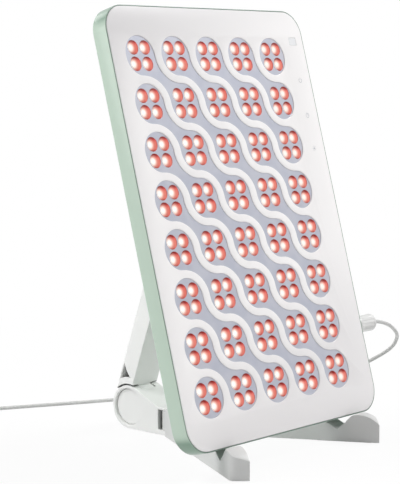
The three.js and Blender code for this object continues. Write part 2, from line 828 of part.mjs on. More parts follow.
// A leg in its own frame: pin at the origin, toe towards -Y, outer side at side * X
function legSolid(side) {
  const half = legThickness / 2;
  const arcZ = toeHeight - toeArcRadius;
  const arcY = -legLength + toeArcCentre;
  const shoulder = hubWidth / 2 - legPinX + runGap;
  const bottom = footProud;
  const profile = new THREE.Shape();
  profile.moveTo(-legLength, bottom);
  profile.lineTo(-legLength, arcZ + Math.sqrt(toeArcRadius ** 2 - toeArcCentre ** 2));
  profile.absarc(
    arcY, arcZ, toeArcRadius,
    Math.PI - Math.acos(toeArcCentre / toeArcRadius), Math.acos(toeArcBackShare), true);
  profile.lineTo(arcY + toeArcRadius * toeArcBackShare, saddleHeight);
  const rampLow = -shoulder - rampStart - rampLength;
  const rampHigh = -shoulder - rampStart;
  profile.lineTo(rampLow, saddleHeight);
  profile.bezierCurveTo(
    rampLow + rampLength / 2, saddleHeight, rampHigh - rampLength / 2, hubShoulder, rampHigh, hubShoulder);
  profile.lineTo(-shoulder, hubShoulder);
  profile.lineTo(-shoulder, bottom);

  const inner = -side * half;
  const outer = side * half;
  const back = legThickness * Math.tan(toeSkew);
  const along = toeFillet * Math.cos(toeSkew);
  const plan = new THREE.Shape();
  plan.moveTo(inner, 0);
  plan.lineTo(inner, -legLength);
  plan.lineTo(outer - side * along, -legLength + back - along * Math.tan(toeSkew));
  plan.quadraticCurveTo(outer, -legLength + back, outer, -legLength + back + toeFillet);
  plan.lineTo(outer, 0);

  const body = sideways(profile, -half, half, arcSteps).intersect(
    upright(plan, -overrun, toeHeight + overrun * 2, arcSteps));
  const tongueLow = footProud + earBottom + runGap;
  const tongueHigh = hubShoulder - earTop - runGap;
  const tongue = join(
    bar('z', half, tongueLow, tongueHigh, [0, 0]),
    box([-half, half], [-shoulder - restGap, 0], [tongueLow, tongueHigh]));
  const bore = bar('z', legPinRadius + runGap, -overrun, hubShoulder + overrun, [0, 0], smallSides);

  const notchY = panelFrontY + notchFromPanel - legPinY;
  const tall = hubShoulder * 2;
  const notchShape = outline([
    [notchY, notchFloor],
    [notchY + (tall - notchFloor) / Math.tan(notchRearSlope), tall],
    [notchY - (tall - notchFloor) / Math.tan(notchFrontSlope), tall],
  ]);
  const notchReach = legLength;
  const notch = turned(sidewaysGeometry(notchShape, -notchReach, notchReach), -side * legSplay);
  const padRoom = legPadBox(side, restGap, footProud + footRecess + restGap);
  const pocket = box(
    around(0, legThickness - 2 * legWall), [rampLow, -shoulder - legWall], [-overrun, legPocketHeight]);
  return cut(join(body, tongue), bore, notch, padRoom, pocket);
}

function legPadBox(side, grow, top) {
  const half = legThickness / 2 - padMargin + grow;
  const front = -legLength + legThickness * Math.tan(toeSkew) + padMargin;
  return box([-half, half], [front - grow, front + toePadLength + grow], [0, top]);
}

// Free cord: the route keeps its own places, chosen by hand
const leadRoute = [
  [168.7, -61, 102.6], [173, -61, 102.1], [186.7, -60.5, 99.2], [198.4, -59, 95.3], [208.4, -57, 90.6],
  [219.3, -54, 83.7], [225.5, -50, 77.5], [228.2, -44, 69.1], [226.6, -39, 63.9], [222.5, -33, 58.8],
  [212, -23, 51], [197, -11, 42], [181, 3, 32.5], [166, 20, 22.5], [153, 39, 13.5], [143, 61, 6.6],
  [137, 86, 3], [134, 112, 1.9], [130, 138, 1.9], [121.5, 162, 1.9], [106, 182, 1.9], [86, 196, 1.9],
  [65, 206, 1.9], [33, 222, 1.9], [-5, 242, 1.9], [-43, 262, 1.9], [-61.5, 271.8, 1.9], [-80, 281.6, 1.9],
];

// A tube of any number of sides along a list of points that lie nearly level
function tubeAlong(points, radius, sides) {
  const up = new THREE.Vector3(0, 0, 1);
  const positions = [];
  const indices = [];
  points.forEach((point, index) => {
    const before = points[Math.max(index - 1, 0)];
    const after = points[Math.min(index + 1, points.length - 1)];
    const ahead = after.clone().sub(before).normalize();
    const aside = ahead.clone().cross(up).normalize();
    const above = aside.clone().cross(ahead);
    for (let side = 0; side < sides; side += 1) {
      const turn = side / sides * 2 * Math.PI;
      const corner = point.clone()
        .addScaledVector(aside, radius * Math.cos(turn))
        .addScaledVector(above, radius * Math.sin(turn));
      positions.push(corner.x, corner.y, corner.z);
    }
  });
  const last = points.length - 1;
  for (let index = 0; index < last; index += 1) {
    for (let side = 0; side < sides; side += 1) {
      const here = index * sides + side;
      const next = index * sides + (side + 1) % sides;
      indices.push(here, next, here + sides, next, next + sides, here + sides);
    }
  }
  for (let side = 1; side < sides - 1; side += 1) {
    indices.push(0, side + 1, side);
    indices.push(last * sides, last * sides + side, last * sides + side + 1);
  }
  const geometry = new THREE.BufferGeometry();
  geometry.setAttribute('position', new THREE.BufferAttribute(new Float32Array(positions), 3));
  geometry.setIndex(indices);
  return toSolid(geometry);
}

// Two layers of turns: in to the middle, up a layer, and out again
function coilPoints() {
  const end = new THREE.Vector3(...leadRoute[leadRoute.length - 1]);
  const before = new THREE.Vector3(...leadRoute[leadRoute.length - 2]);
  const heading = end.clone().sub(before).setZ(0).normalize();
  const right = new THREE.Vector3(heading.y, -heading.x, 0);
  const outerRadius = coilMiddleRadius + coilPitch * coilTurns / 4;
  const start = end.clone().addScaledVector(heading, restGap);
  const spiralStart = start.clone().addScaledVector(heading, 2 * cordRadius);
  const centre = spiralStart.clone().addScaledVector(right, outerRadius);
  const startTurn = Math.atan2(-right.y, -right.x);
  const points = [start];
  const total = coilTurns * coilSteps;
  for (let step = 0; step <= total; step += 1) {
    const turns = step / coilSteps;
    const radius = coilMiddleRadius + coilPitch * (Math.abs(turns - coilTurns / 2) - coilTurns / 4);
    const turn = startTurn - turns * 2 * Math.PI;
    const climb = THREE.MathUtils.smoothstep(
      turns, coilTurns / 2 - climbTurnShare / 2, coilTurns / 2 + climbTurnShare / 2);
    points.push(new THREE.Vector3(
      centre.x + radius * Math.cos(turn), centre.y + radius * Math.sin(turn), start.z + climb * coilPitch));
  }
  const out = points[points.length - 1];
  for (let step = 1; step <= tailSteps; step += 1) {
    const share = step / tailSteps;
    const lift = THREE.MathUtils.smoothstep(share, 0, tailLiftShare);
    points.push(out.clone()
      .addScaledVector(heading, tailLength * share)
      .setZ(out.z + (adapterNeckHeight - out.z) * lift));
  }
  return { points, heading };
}

function leastGap(points, radius) {
  let least = Infinity;
  const reach = Math.round(coilSteps / 2);
  for (let first = 0; first < points.length; first += 1) {
    for (let second = first + reach; second < points.length; second += 1) {
      least = Math.min(least, points[first].distanceTo(points[second]) - 2 * radius);
    }
  }
  return least;
}

// The adapter, with its cord end at the origin and its blades towards +Y
function adapterSolids() {
  const body = new THREE.ExtrudeGeometry(
    roundedOutline(adapterWidth - 2 * adapterBevel, adapterLength - 2 * adapterBevel, adapterRound), {
      depth: adapterHeight - 2 * adapterBevel,
      bevelThickness: adapterBevel,
      bevelSize: adapterBevel,
      bevelSegments: 1,
      curveSegments: quarterSteps,
    });
  body.translate(0, adapterNeck + adapterLength / 2, adapterBevel);
  const neckShape = [[0, 0], [adapterNeckRadius * neckShare, 0], [adapterNeckRadius, adapterNeck - restGap],
    [0, adapterNeck - restGap]];
  const neck = new THREE.LatheGeometry(
    neckShape.map(([radius, along]) => new THREE.Vector2(radius, along)), smallSides);
  neck.translate(0, 0, adapterNeckHeight);
  const bladeStart = adapterNeck + adapterLength;
  const blades = [-1, 1].map((aside) => box(
    around(aside * bladeSpacing / 2, bladeThickness),
    [bladeStart - bladeSeat, bladeStart + bladeLength],
    around(adapterHeight / 2, bladeWidth)));
  const slots = [-1, 1].map((aside) => box(
    around(aside * bladeSpacing / 2, bladeThickness + 2 * restGap),
    [bladeStart - bladeSeat - restGap, bladeStart + overrun],
    around(adapterHeight / 2, bladeWidth + 2 * restGap)));
  return { body: cut(toSolid(body), ...slots), neck: toSolid(neck), blades };
}

function plugSolids() {
  const place = [panelDepth / 2, plugHeight];
  const start = panelWidth / 2 + restGap;
  const grip = bar('x', plugRadius, start, start + plugLength, place);
  const neckLathe = new THREE.LatheGeometry([
    new THREE.Vector2(0, -overrun), new THREE.Vector2(plugRadius * plugShoulderShare, -overrun),
    new THREE.Vector2(plugRadius * plugShoulderShare, 0),
    new THREE.Vector2(plugNeckRadius, plugNeck), new THREE.Vector2(0, plugNeck)], smallSides);
  neckLathe.rotateZ(-Math.PI / 2);
  neckLathe.translate(start + plugLength, place[0], place[1]);
  const grooves = [];
  for (let rib = 0; rib < plugRibs; rib += 1) {
    const turn = rib / plugRibs * 2 * Math.PI;
    grooves.push(bar(
      'x', plugRibDepth, start + plugLength * ribFromShare, start + plugLength * ribToShare,
      [place[0] + plugRadius * Math.cos(turn), place[1] + plugRadius * Math.sin(turn)], coilSides));
  }
  const tip = bar('x', tipRadius, panelWidth / 2 - tipLength, panelWidth / 2, place, smallSides);
  return { body: cut(join(grip, toSolid(neckLathe)), ...grooves), tip };
}

// Assembly
const panel = new THREE.Group();
panel.position.set(0, panelFrontY, panelFrontZ);
panel.rotation.x = -panelLean;
lamp.add(panel);
add(panel, 'side_frame', sideFrameSolid(), sage);
add(panel, 'front_plate', frontPlateSolid(), glossWhite);
add(panel, 'lens_sheet', lensSheetSolid(), lensRed);
add(panel, 'led_board', ledBoardSolid(), boardWhite);
add(panel, 'heat_spreader', heatSpreaderSolid(), aluminium);
add(panel, 'rear_cover', rearCoverSolid(), sage);
add(panel, 'touch_board', touchBoardSolid(), boardGreen);
add(panel, 'display_window', displayWindowSolid(), darkGlass);
add(panel, 'driver_board', driverBoardSolid(), boardGreen);
add(panel, 'dc_socket', dcSocketSolid(), black);
add(panel, 'inner_lead', innerLeadSolid(), black);
add(panel, 'hinge_bracket', hingeBracketSolid(), white);
bossPlaces().forEach((place, index) => add(
  panel, `cover_screw_${index + 1}`, screwSolid(place, panelDepth - screwSink + restGap), steel));
bracketScrewPlaces().forEach((place, index) => add(
  panel, `bracket_screw_${index + 1}`,
  screwSolid(place, panelDepth + bracketBase + 2 * restGap), steel));
const topPin = bar('x', topPinRadius, -earOuter, earOuter, [pivotDepth, pivotHeight], smallSides);
add(panel, 'top_hinge_pin', topPin, steel);
const plug = plugSolids();
add(panel, 'plug_body', plug.body, white);
add(panel, 'plug_tip', plug.tip, steel);

function washerSolid(from, place, bore, radius) {
  return cut(
    bar('x', radius, from, from + washerThickness, place, smallSides),
    bar('x', bore + runGap, from - overrun, from + overrun, place, smallSides));
}

const strut = new THREE.Group();
strut.position.set(0, barrelY, barrelZ);
strut.rotation.x = strutLean;
lamp.add(strut);
add(strut, 'strut', strutSolid(), white);
const topWasherPlace = [strutMid, strutLength];
const topWasherStart = topKnuckleWidth / 2 + restGap;
add(strut, 'top_washer_left',
  washerSolid(-topWasherStart - washerThickness, topWasherPlace, topPinRadius, topKnuckleRadius), steel);
add(strut, 'top_washer_right',
  washerSolid(topWasherStart, topWasherPlace, topPinRadius, topKnuckleRadius), steel);

const base = new THREE.Group();
lamp.add(base);
const barrelPlace = [barrelY, barrelZ];
const capStart = hubWidth / 2 - capRecess - capThickness;
add(base, 'hub', hubSolid(), white);
add(base, 'hub_foot_pad', hubPadSolid(), rubber);
const basePin = bar('x', hingePinRadius, restGap - capStart, capStart - restGap, barrelPlace, smallSides);
add(base, 'hinge_pin', basePin, steel);
const washerStart = knuckleWidth / 2 + restGap;
add(base, 'friction_washer_left',
  washerSolid(-washerStart - washerThickness, barrelPlace, hingePinRadius, washerRadius), steel);
add(base, 'friction_washer_right',
  washerSolid(washerStart, barrelPlace, hingePinRadius, washerRadius), steel);
for (const [side, word] of [[-1, 'left'], [1, 'right']]) {
  const pinBar = bar(
    'z', legPinRadius, footProud + restGap, hubShoulder - restGap, [side * legPinX, legPinY], smallSides);
  add(base, `leg_pin_${word}`, pinBar, steel);
  add(base, `end_cap_${word}`, endCapSolid(side), white);
  const leg = new THREE.Group();
  leg.position.set(side * legPinX, legPinY, 0);
  leg.rotation.z = side * legSplay;
  lamp.add(leg);
  add(leg, `leg_${word}`, legSolid(side), white);
  add(leg, `foot_pad_${word}`, legPadBox(side, 0, footProud + footRecess), rubber);
}

const coil = coilPoints();
const leadCurve = new THREE.CatmullRomCurve3(leadRoute.map((place) => new THREE.Vector3(...place)));
add(lamp, 'supply_lead', sweep(leadCurve, cordRadius, cordSides, leadSteps), leadGrey);
add(lamp, 'lead_coil', tubeAlong(coil.points, cordRadius, coilSides), leadGrey);
const adapter = new THREE.Group();
const coilEnd = coil.points[coil.points.length - 1].clone().addScaledVector(coil.heading, restGap);
adapter.position.set(coilEnd.x, coilEnd.y, 0);
adapter.rotation.z = Math.atan2(-coil.heading.x, coil.heading.y);
lamp.add(adapter);
const adapterParts = adapterSolids();
add(adapter, 'adapter_body', adapterParts.body, white);
add(adapter, 'adapter_neck', adapterParts.neck, white);
add(adapter, 'adapter_blade_left', adapterParts.blades[0], steel);
add(adapter, 'adapter_blade_right', adapterParts.blades[1], steel);

let coilLength = 0;
for (let index = 1; index < coil.points.length; index += 1) {
  coilLength += coil.points[index].distanceTo(coil.points[index - 1]);
}
console.log('least gap inside the coil', leastGap(coil.points, cordRadius).toFixed(2), 'mm');
console.log('lead', leadCurve.getLength().toFixed(1), 'coil and tail', coilLength.toFixed(1), 'mm');

export default lamp;
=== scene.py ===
# %% [markdown]
# # A light therapy lamp
# The lamp is a slim upright panel, sage green round the side and glossy white in front. Wavy
# windows in the white show 160 round red lenses. A white folding stand carries it, and a thin pale
# lead is plugged in at its right side. Sizes are millimetres until the last step of each piece,
# and `MM` turns them into metres.

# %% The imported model
import math

import bmesh
import bpy
from mathutils import Matrix, Vector, geometry


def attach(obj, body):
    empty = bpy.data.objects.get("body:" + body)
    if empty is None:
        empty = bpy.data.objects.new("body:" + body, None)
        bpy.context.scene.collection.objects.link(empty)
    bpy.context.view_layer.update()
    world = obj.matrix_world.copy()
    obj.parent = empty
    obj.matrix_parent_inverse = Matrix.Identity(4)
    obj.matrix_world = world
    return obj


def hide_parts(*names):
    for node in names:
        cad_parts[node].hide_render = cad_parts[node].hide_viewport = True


MM = 0.001
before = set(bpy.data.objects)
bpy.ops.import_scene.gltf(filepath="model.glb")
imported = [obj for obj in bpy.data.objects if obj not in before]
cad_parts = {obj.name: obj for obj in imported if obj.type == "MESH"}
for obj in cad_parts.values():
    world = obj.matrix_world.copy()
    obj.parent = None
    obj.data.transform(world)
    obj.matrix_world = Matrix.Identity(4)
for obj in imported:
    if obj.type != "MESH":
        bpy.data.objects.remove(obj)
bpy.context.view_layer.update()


# %% [markdown]
# The photograph was taken with a long lens from a little above the middle of the panel. Its camera
# was worked out from the places of the lenses, so the focal length is known in pixels. Blender
# wants it in millimetres on a sensor, and here the sensor's long side is the frame's height.

# %% The camera
FRAME_HEIGHT_PX = 484
FOCAL_PX = 1612
SENSOR_MM = 36
EYE = Vector((-1136.4, -996.4, 354.1)) * MM
SIGHT = Vector((0.7407, 0.6632, -0.1068))
scene = bpy.context.scene


def in_scene(name, data):
    """A new object for the data, linked to the scene."""
    made = bpy.data.objects.new(name, data)
    scene.collection.objects.link(made)
    return made


def aimed(direction):
    """The turn that points a camera or a light along the direction."""
    return direction.to_track_quat("-Z", "Y").to_euler()


camera_lens = bpy.data.cameras.new("photo_lens")
camera_lens.sensor_width = SENSOR_MM
camera_lens.lens = FOCAL_PX / FRAME_HEIGHT_PX * SENSOR_MM
camera = in_scene("photo_camera", camera_lens)
camera.location = EYE
camera.rotation_euler = aimed(SIGHT)
scene.camera = camera
print("lens", round(camera_lens.lens, 1), "mm")

# %% [markdown]
# The lead is a limp round cord. It leaves the plug, drops to the table in one bend, passes behind
# the stand and runs out to the left. What the photograph doesn't show lies in a flat coil next to
# its adapter. The listed points are joined by a centripetal spline, which never loops between them.

# %% The lead's route
CORD_RADIUS = 1.85
LEAD_ROUTE = [
    (168.7, -61, 102.6), (173, -61, 102.1), (186.7, -60.5, 99.2), (198.4, -59, 95.3),
    (208.4, -57, 90.6), (219.3, -54, 83.7), (225.5, -50, 77.5), (228.2, -44, 69.1),
    (226.6, -39, 63.9), (222.5, -33, 58.8), (212, -23, 51), (197, -11, 42), (181, 3, 32.5),
    (166, 20, 22.5), (153, 39, 13.5), (143, 61, 6.6), (137, 86, 3), (134, 112, 1.9),
    (130, 138, 1.9), (121.5, 162, 1.9), (106, 182, 1.9), (86, 196, 1.9), (65, 206, 1.9),
    (33, 222, 1.9), (-5, 242, 1.9), (-43, 262, 1.9), (-61.5, 271.8, 1.9), (-80, 281.6, 1.9),
]
POINTS_PER_REACH = 6


def spline_reach(before, start, end, after):
    """Points on one reach of a centripetal spline, from start on and short of end."""
    gap_in, gap, gap_out = (
        math.sqrt((b - a).length) for a, b in ((before, start), (start, end), (end, after)))
    onward = (end - start) / gap
    leave = ((start - before) / gap_in - (end - before) / (gap_in + gap) + onward) * gap
    arrive = (onward - (after - start) / (gap + gap_out) + (after - end) / gap_out) * gap
    for step in range(POINTS_PER_REACH):
        t = step / POINTS_PER_REACH
        yield (start + leave * t + (-3 * start + 3 * end - 2 * leave - arrive) * t ** 2
               + (2 * start - 2 * end + leave + arrive) * t ** 3)


def spline_through(places):
    """Points on a smooth line through all the places."""
    knots = [Vector(place) for place in places]
    ends = [2 * knots[0] - knots[1], *knots, 2 * knots[-1] - knots[-2]]
    points = []
    for index in range(len(knots) - 1):
        points.extend(spline_reach(*ends[index:index + 4]))
    return points + [knots[-1]]


lead_points = spline_through(LEAD_ROUTE)
print("free lead", len(lead_points), "points")

# %% [markdown]
# The coil winds in to the middle, climbs one layer where the winding turns, and winds out again on
# top. Each turn is a little more than one cord's width further in than the last. Turns laid by hand
# would drift into each other, so one rule gives the radius, the angle and the height of every
# point. The tail runs on to the adapter's neck.

# %% The coil and its tail
COIL_TURNS = 6
COIL_PITCH = 4.3
COIL_MIDDLE_RADIUS = 21
COIL_STEPS = 36
CLIMB_TURNS = 0.5
REST_GAP = 0.3
TAIL_LENGTH = 38
TAIL_STEPS = 12
TAIL_LIFT_SHARE = 0.8
ADAPTER_NECK_HEIGHT = 7


def smooth_share(value, low, high):
    """0 below low, 1 above high, smooth between."""
    share = min(max((value - low) / (high - low), 0), 1)
    return share * share * (3 - 2 * share)


half_turns = COIL_TURNS / 2
heading = (Vector(LEAD_ROUTE[-1]) - Vector(LEAD_ROUTE[-2])).normalized()
heading.z = 0
heading.normalize()
aside = Vector((heading.y, -heading.x, 0))
coil_start = lead_points[-1] + heading * REST_GAP
coil_rim = COIL_MIDDLE_RADIUS + COIL_PITCH * half_turns / 2
coil_centre = coil_start + heading * 2 * CORD_RADIUS + aside * coil_rim
first_turn = math.atan2(-aside.y, -aside.x)
coil_points = []
for step in range(COIL_TURNS * COIL_STEPS + 1):
    turns = step / COIL_STEPS
    radius = COIL_MIDDLE_RADIUS + COIL_PITCH * (abs(turns - half_turns) - half_turns / 2)
    angle = first_turn - turns * 2 * math.pi
    climb = smooth_share(turns, half_turns - CLIMB_TURNS / 2, half_turns + CLIMB_TURNS / 2)
    coil_points.append(Vector((
        coil_centre.x + radius * math.cos(angle),
        coil_centre.y + radius * math.sin(angle),
        coil_start.z + climb * COIL_PITCH)))
tail_start = coil_points[-1]
for step in range(1, TAIL_STEPS + 1):
    share = step / TAIL_STEPS
    place = tail_start + heading * TAIL_LENGTH * share
    place.z += (ADAPTER_NECK_HEIGHT - tail_start.z) * smooth_share(share, 0, TAIL_LIFT_SHARE)
    coil_points.append(place)
cord_points = [point * MM for point in lead_points + coil_points]
cord_length = sum((b - a).length for a, b in zip(cord_points, cord_points[1:]))
print("cord length", round(cord_length, 3), "m")

# %% [markdown]
# A cord could be a mesh tube, but a curve with a round bevel is the natural way to make one: its
# own line is the middle of the cord, and the thickness is one number.

# %% The cord's curve
CORD_BEVEL_STEPS = 5

cord_curve = bpy.data.curves.new("lead", "CURVE")
cord_curve.dimensions = "3D"
cord_curve.bevel_depth = CORD_RADIUS * MM
cord_curve.bevel_resolution = CORD_BEVEL_STEPS
cord_curve.use_fill_caps = True
cord_line = cord_curve.splines.new("POLY")
cord_line.points.add(len(cord_points) - 1)
for knot, place in zip(cord_line.points, cord_points):
    knot.co = (*place, 1)
lead = in_scene("lead", cord_curve)
print("lead", len(cord_line.points), "points,", 2 * CORD_RADIUS, "mm thick")

# %% [markdown]
# ## Writing materials as sums
# A shader is arithmetic on colours and numbers. `Shade` wraps a socket so that `1 - mask` or
# `grain * 0.2` adds the Math nodes itself. `Finish` is one material, and its `node` method makes
# any other node from its type, its settings and its sockets.

# %% The expression class
class Shade:
    """A number or colour in a material, with the operators that build Math nodes."""

    def __init__(self, finish, socket):
        self.finish = finish
        self.socket = socket

    def _math(self, operation, *values):
        return self.finish.node(
            "ShaderNodeMath", {"operation": operation}, dict(enumerate(values)))

    def __add__(self, other):
        return self._math("ADD", self, other)

    __radd__ = __add__

    def __mul__(self, other):
        return self._math("MULTIPLY", self, other)

    __rmul__ = __mul__

    def __sub__(self, other):
        return self._math("SUBTRACT", self, other)

    def __rsub__(self, other):
        return self._math("SUBTRACT", other, self)

    def __pow__(self, other):
        return self._math("POWER", self, other)

    def clamped(self):
        return self._math("MINIMUM", self._math("MAXIMUM", self, 0), 1)

    def between(self, low, high):
        """0 below low, 1 above high, smooth between; low may be the larger."""
        return self.finish.node(
            "ShaderNodeMapRange", {"interpolation_type": "SMOOTHSTEP"},
            {"Value": self, "From Min": low, "From Max": high})


class Finish:
    """One material, or another owner of shader nodes, with its nodes made by calls."""

    def __init__(self, name, owner=None, shader="Principled BSDF"):
        self.material = owner or bpy.data.materials.new(name)
        self.material.use_nodes = True
        self.tree = self.material.node_tree
        self.shader = self.tree.nodes[shader]

    def node(self, kind, settings, sockets, output=0):
        """Any node: its type, its settings, its sockets' values or links, and which output."""
        made = self.tree.nodes.new(kind)
        for setting, value in settings.items():
            setattr(made, setting, value)
        self.fill(made, sockets)
        return Shade(self, made.outputs[output])

    def fill(self, made, sockets):
        for name, value in sockets.items():
            if isinstance(value, Shade):
                self.tree.links.new(value.socket, made.inputs[name])
            else:
                made.inputs[name].default_value = value

    def shine(self, **sockets):
        """Fills in the shader, with an underscore for each space in a socket's name."""
        self.fill(self.shader, {name.replace("_", " "): value for name, value in sockets.items()})
        return self.material

    def place(self, output="Object"):
        return self.node("ShaderNodeTexCoord", {}, {}, output)

    def part(self, vector, axis):
        return self.node("ShaderNodeSeparateXYZ", {}, {"Vector": vector}, axis)

    def blend(self, share, first, second):
        """The first colour where share is 0, the second where it is 1."""
        return self.node(
            "ShaderNodeMix", {"data_type": "RGBA"}, {0: share, 6: first, 7: second}, 2)

    def noise(self, size_mm, detail=2.0, vector=None):
        return self.node("ShaderNodeTexNoise", {}, {
            "Vector": vector or self.place(), "Scale": 1 / (size_mm * MM), "Detail": detail})

    def bump(self, height, depth_mm, strength):
        return self.node("ShaderNodeBump", {}, {
            "Height": height, "Strength": strength, "Distance": depth_mm * MM})


def paint(hex_code):
    """A screen colour such as 0xB9CDBF as linear values."""
    channels = [(hex_code >> shift & 0xFF) / 255 for shift in (16, 8, 0)]
    linear = [c / 12.92 if c <= 0.04045 else ((c + 0.055) / 1.055) ** 2.4 for c in channels]
    return (*linear, 1)


def swinging(pattern, swing, middle):
    """A roughness that swings about its middle with a pattern from 0 to 1."""
    return pattern * swing + (middle - swing / 2)


print("mid grey is", round(paint(0x808080)[0], 3), "in linear light")

# %% [markdown]
# ## Plastics
# Every moulded shell has a fine spark-eroded grain, far too small to see at arm's length. It
# breaks the gloss a little, so it goes into the bump and the roughness. A slow, faint change of
# tone keeps a large face from looking like a flat fill.

# %% Moulded plastics
GRAIN_MM = 0.35
GRAIN_SWING = 0.08
GRAIN_BUMP = 0.25
DRIFT_MM = 60
DRIFT_STEP = (0.3, 0.7)


def grained(finish, roughness, depth_mm, **sockets):
    """Fills in the shader, with the moulding's grain in its gloss and its bump."""
    grain = finish.noise(GRAIN_MM)
    return finish.shine(
        Roughness=swinging(grain, GRAIN_SWING, roughness),
        Normal=finish.bump(grain, depth_mm, GRAIN_BUMP),
        **sockets)


def moulded(name, light, dark, roughness, coat, depth_mm):
    finish = Finish(name)
    drift = finish.noise(DRIFT_MM, detail=1.0).between(*DRIFT_STEP)
    return grained(
        finish, roughness, depth_mm,
        Base_Color=finish.blend(drift, paint(light), paint(dark)), Coat_Weight=coat)


STAND_WHITE = 0xF1F1F0
STAND_ROUGHNESS = 0.42
STAND_GRAIN_MM = 0.015

sage_plastic = moulded("sage_plastic", 0xB7CABB, 0xB1C5B5, roughness=0.32, coat=0.25, depth_mm=0.01)
stand_white = moulded(
    "stand_white", STAND_WHITE, 0xECECEB, STAND_ROUGHNESS, coat=0.1, depth_mm=STAND_GRAIN_MM)
supply_white = moulded("supply_white", 0xDEDEDD, 0xD8D8D7, roughness=0.35, coat=0.1, depth_mm=0.012)
socket_black = moulded("socket_black", 0x232427, 0x1B1C1F, roughness=0.5, coat=0.0, depth_mm=0.015)
display_pale = moulded("display_pale", 0xF0F1F3, 0xECEDF0, roughness=0.2, coat=0.8, depth_mm=0.001)
mark_grey = moulded("mark_grey", 0xC2C4C9, 0xBCBEC3, roughness=0.4, coat=0.1, depth_mm=0.003)
print("plastics", [made.name for made in (
    sage_plastic, stand_white, supply_white, socket_black, display_pale, mark_grey)])

# %% [markdown]
# Two mouldings have light and shade painted into their colour. The side ring is sage green, painted
# darker as shade where its faces turn up or down, and its thin front lip is painted dark as shade.
# A coat that changes with the eye would be lost in an export, so the painted shade follows the
# direction of the surface.
# The glossy plate has painted light and shade: lightest in its middle, darker towards its top left
# corner and its bottom, which follows the place on it.

# %% The pearl ring and the glossy plate
LIP_SHADE_FACING = (0.55, 0.95)
TURNED_SHADE_FACING = (0.02, 0.25)
TOP_LEFT_SLOPE = 0.3
TOP_LEFT_FADE = (0.33, 0.45)
BOTTOM_SLOPE = 0.4
BOTTOM_FADE = (0.16, 0.03)
BOTTOM_FADE_SHARE = 0.7


def ring_finish():
    """Sage green with painted shade by the direction a face looks in: a dark lip to the front,
    darker up and down.
    """
    finish = Finish("sage_ring")
    facing = finish.place("Normal")
    up = finish.part(facing, 2)
    # Painted shade: the front lip and the faces turned up or down get a darker sage.
    lip = (finish.part(facing, 1) * -1).between(*LIP_SHADE_FACING)
    turned_shade = (up * up).between(*TURNED_SHADE_FACING)
    sage_with_shade = finish.blend(turned_shade, paint(0xBACDBE), paint(0x7F9A88))
    return grained(
        finish, roughness=0.3, depth_mm=0.01,
        Base_Color=finish.blend(lip, sage_with_shade, paint(0x7B9084)), Coat_Weight=0.2)


def plate_finish():
    """Glossy white with painted light and shade by the place on the plate, in metres: darker
    towards the top left and the bottom.
    """
    finish = Finish("plate_white")
    across = finish.part(finish.place(), 0)
    up = finish.part(finish.place(), 2)
    # Painted shade: the plate turns greyer towards its top left corner and its bottom.
    top_left = (up - across * TOP_LEFT_SLOPE).between(*TOP_LEFT_FADE)
    bottom = (up - across * BOTTOM_SLOPE).between(*BOTTOM_FADE) * BOTTOM_FADE_SHARE
    plate_shade = (top_left + bottom).clamped()
    return grained(
        finish, roughness=0.24, depth_mm=0.003,
        Base_Color=finish.blend(plate_shade, paint(0xFDFBFB), paint(0xE8E6E7)),
        Specular_IOR_Level=0.25)


sage_ring = ring_finish()
plate_white = plate_finish()
print("changing tones", sage_ring.name, plate_white.name)

# %% [markdown]
# ## Metal, rubber and boards
# The hinge pins and screws are zinc-plated steel, turned, so a stretched noise gives them fine
# rings. The fins behind the vents are extruded aluminium, whose fine lines run along the
# extrusion. The rubber of the pads, the boards and the lead's skin are dull, and a cloudy noise is
# enough for them.

# %% Metals, rubber and boards
TURNING_MM = 0.25
TURNING_SWING = 0.18
TURNING_BUMP = 0.3
TURNING_DEPTH_MM = 0.01
DARKER = 0x101010
CLOUD_STEP = (0.35, 0.65)
CLOUD_SWING = 0.1
CLOUD_BUMP = 0.4


def turned_metal(name, tone, roughness, stretch):
    finish = Finish(name)
    along = finish.node("ShaderNodeMapping", {}, {"Vector": finish.place(), "Scale": stretch})
    marks = finish.noise(TURNING_MM, detail=3.0, vector=along)
    return finish.shine(
        Base_Color=finish.blend(marks, paint(tone), paint(tone - DARKER)),
        Metallic=1.0,
        Roughness=swinging(marks, TURNING_SWING, roughness),
        Normal=finish.bump(marks, TURNING_DEPTH_MM, TURNING_BUMP))


def dull(name, light, dark, roughness, size_mm, depth_mm):
    finish = Finish(name)
    cloud = finish.noise(size_mm, detail=4.0)
    return finish.shine(
        Base_Color=finish.blend(cloud.between(*CLOUD_STEP), paint(light), paint(dark)),
        Roughness=swinging(cloud, CLOUD_SWING, roughness),
        Normal=finish.bump(cloud, depth_mm, CLOUD_BUMP))


pin_steel = turned_metal("pin_steel", 0xC6C8CA, roughness=0.3, stretch=(8.0, 1.0, 1.0))
fin_aluminium = turned_metal("fin_aluminium", 0xC4C7CA, roughness=0.38, stretch=(1.0, 1.0, 0.05))
pad_rubber = dull("pad_rubber", 0xC9CAC8, 0xBFC0BE, roughness=0.85, size_mm=1.2, depth_mm=0.05)
board_white = dull("board_white", 0xE9ECEA, 0xDFE3E0, roughness=0.5, size_mm=4.0, depth_mm=0.01)
board_green = dull("board_green", 0x357A50, 0x2B6542, roughness=0.45, size_mm=4.0, depth_mm=0.01)
cord_grey = dull("cord_grey", 0xC9C9C8, 0xC1C1C0, roughness=0.45, size_mm=3.0, depth_mm=0.02)
print("plain finishes", [made.name for made in (
    pin_steel, fin_aluminium, pad_rubber, board_white, board_green, cord_grey)])
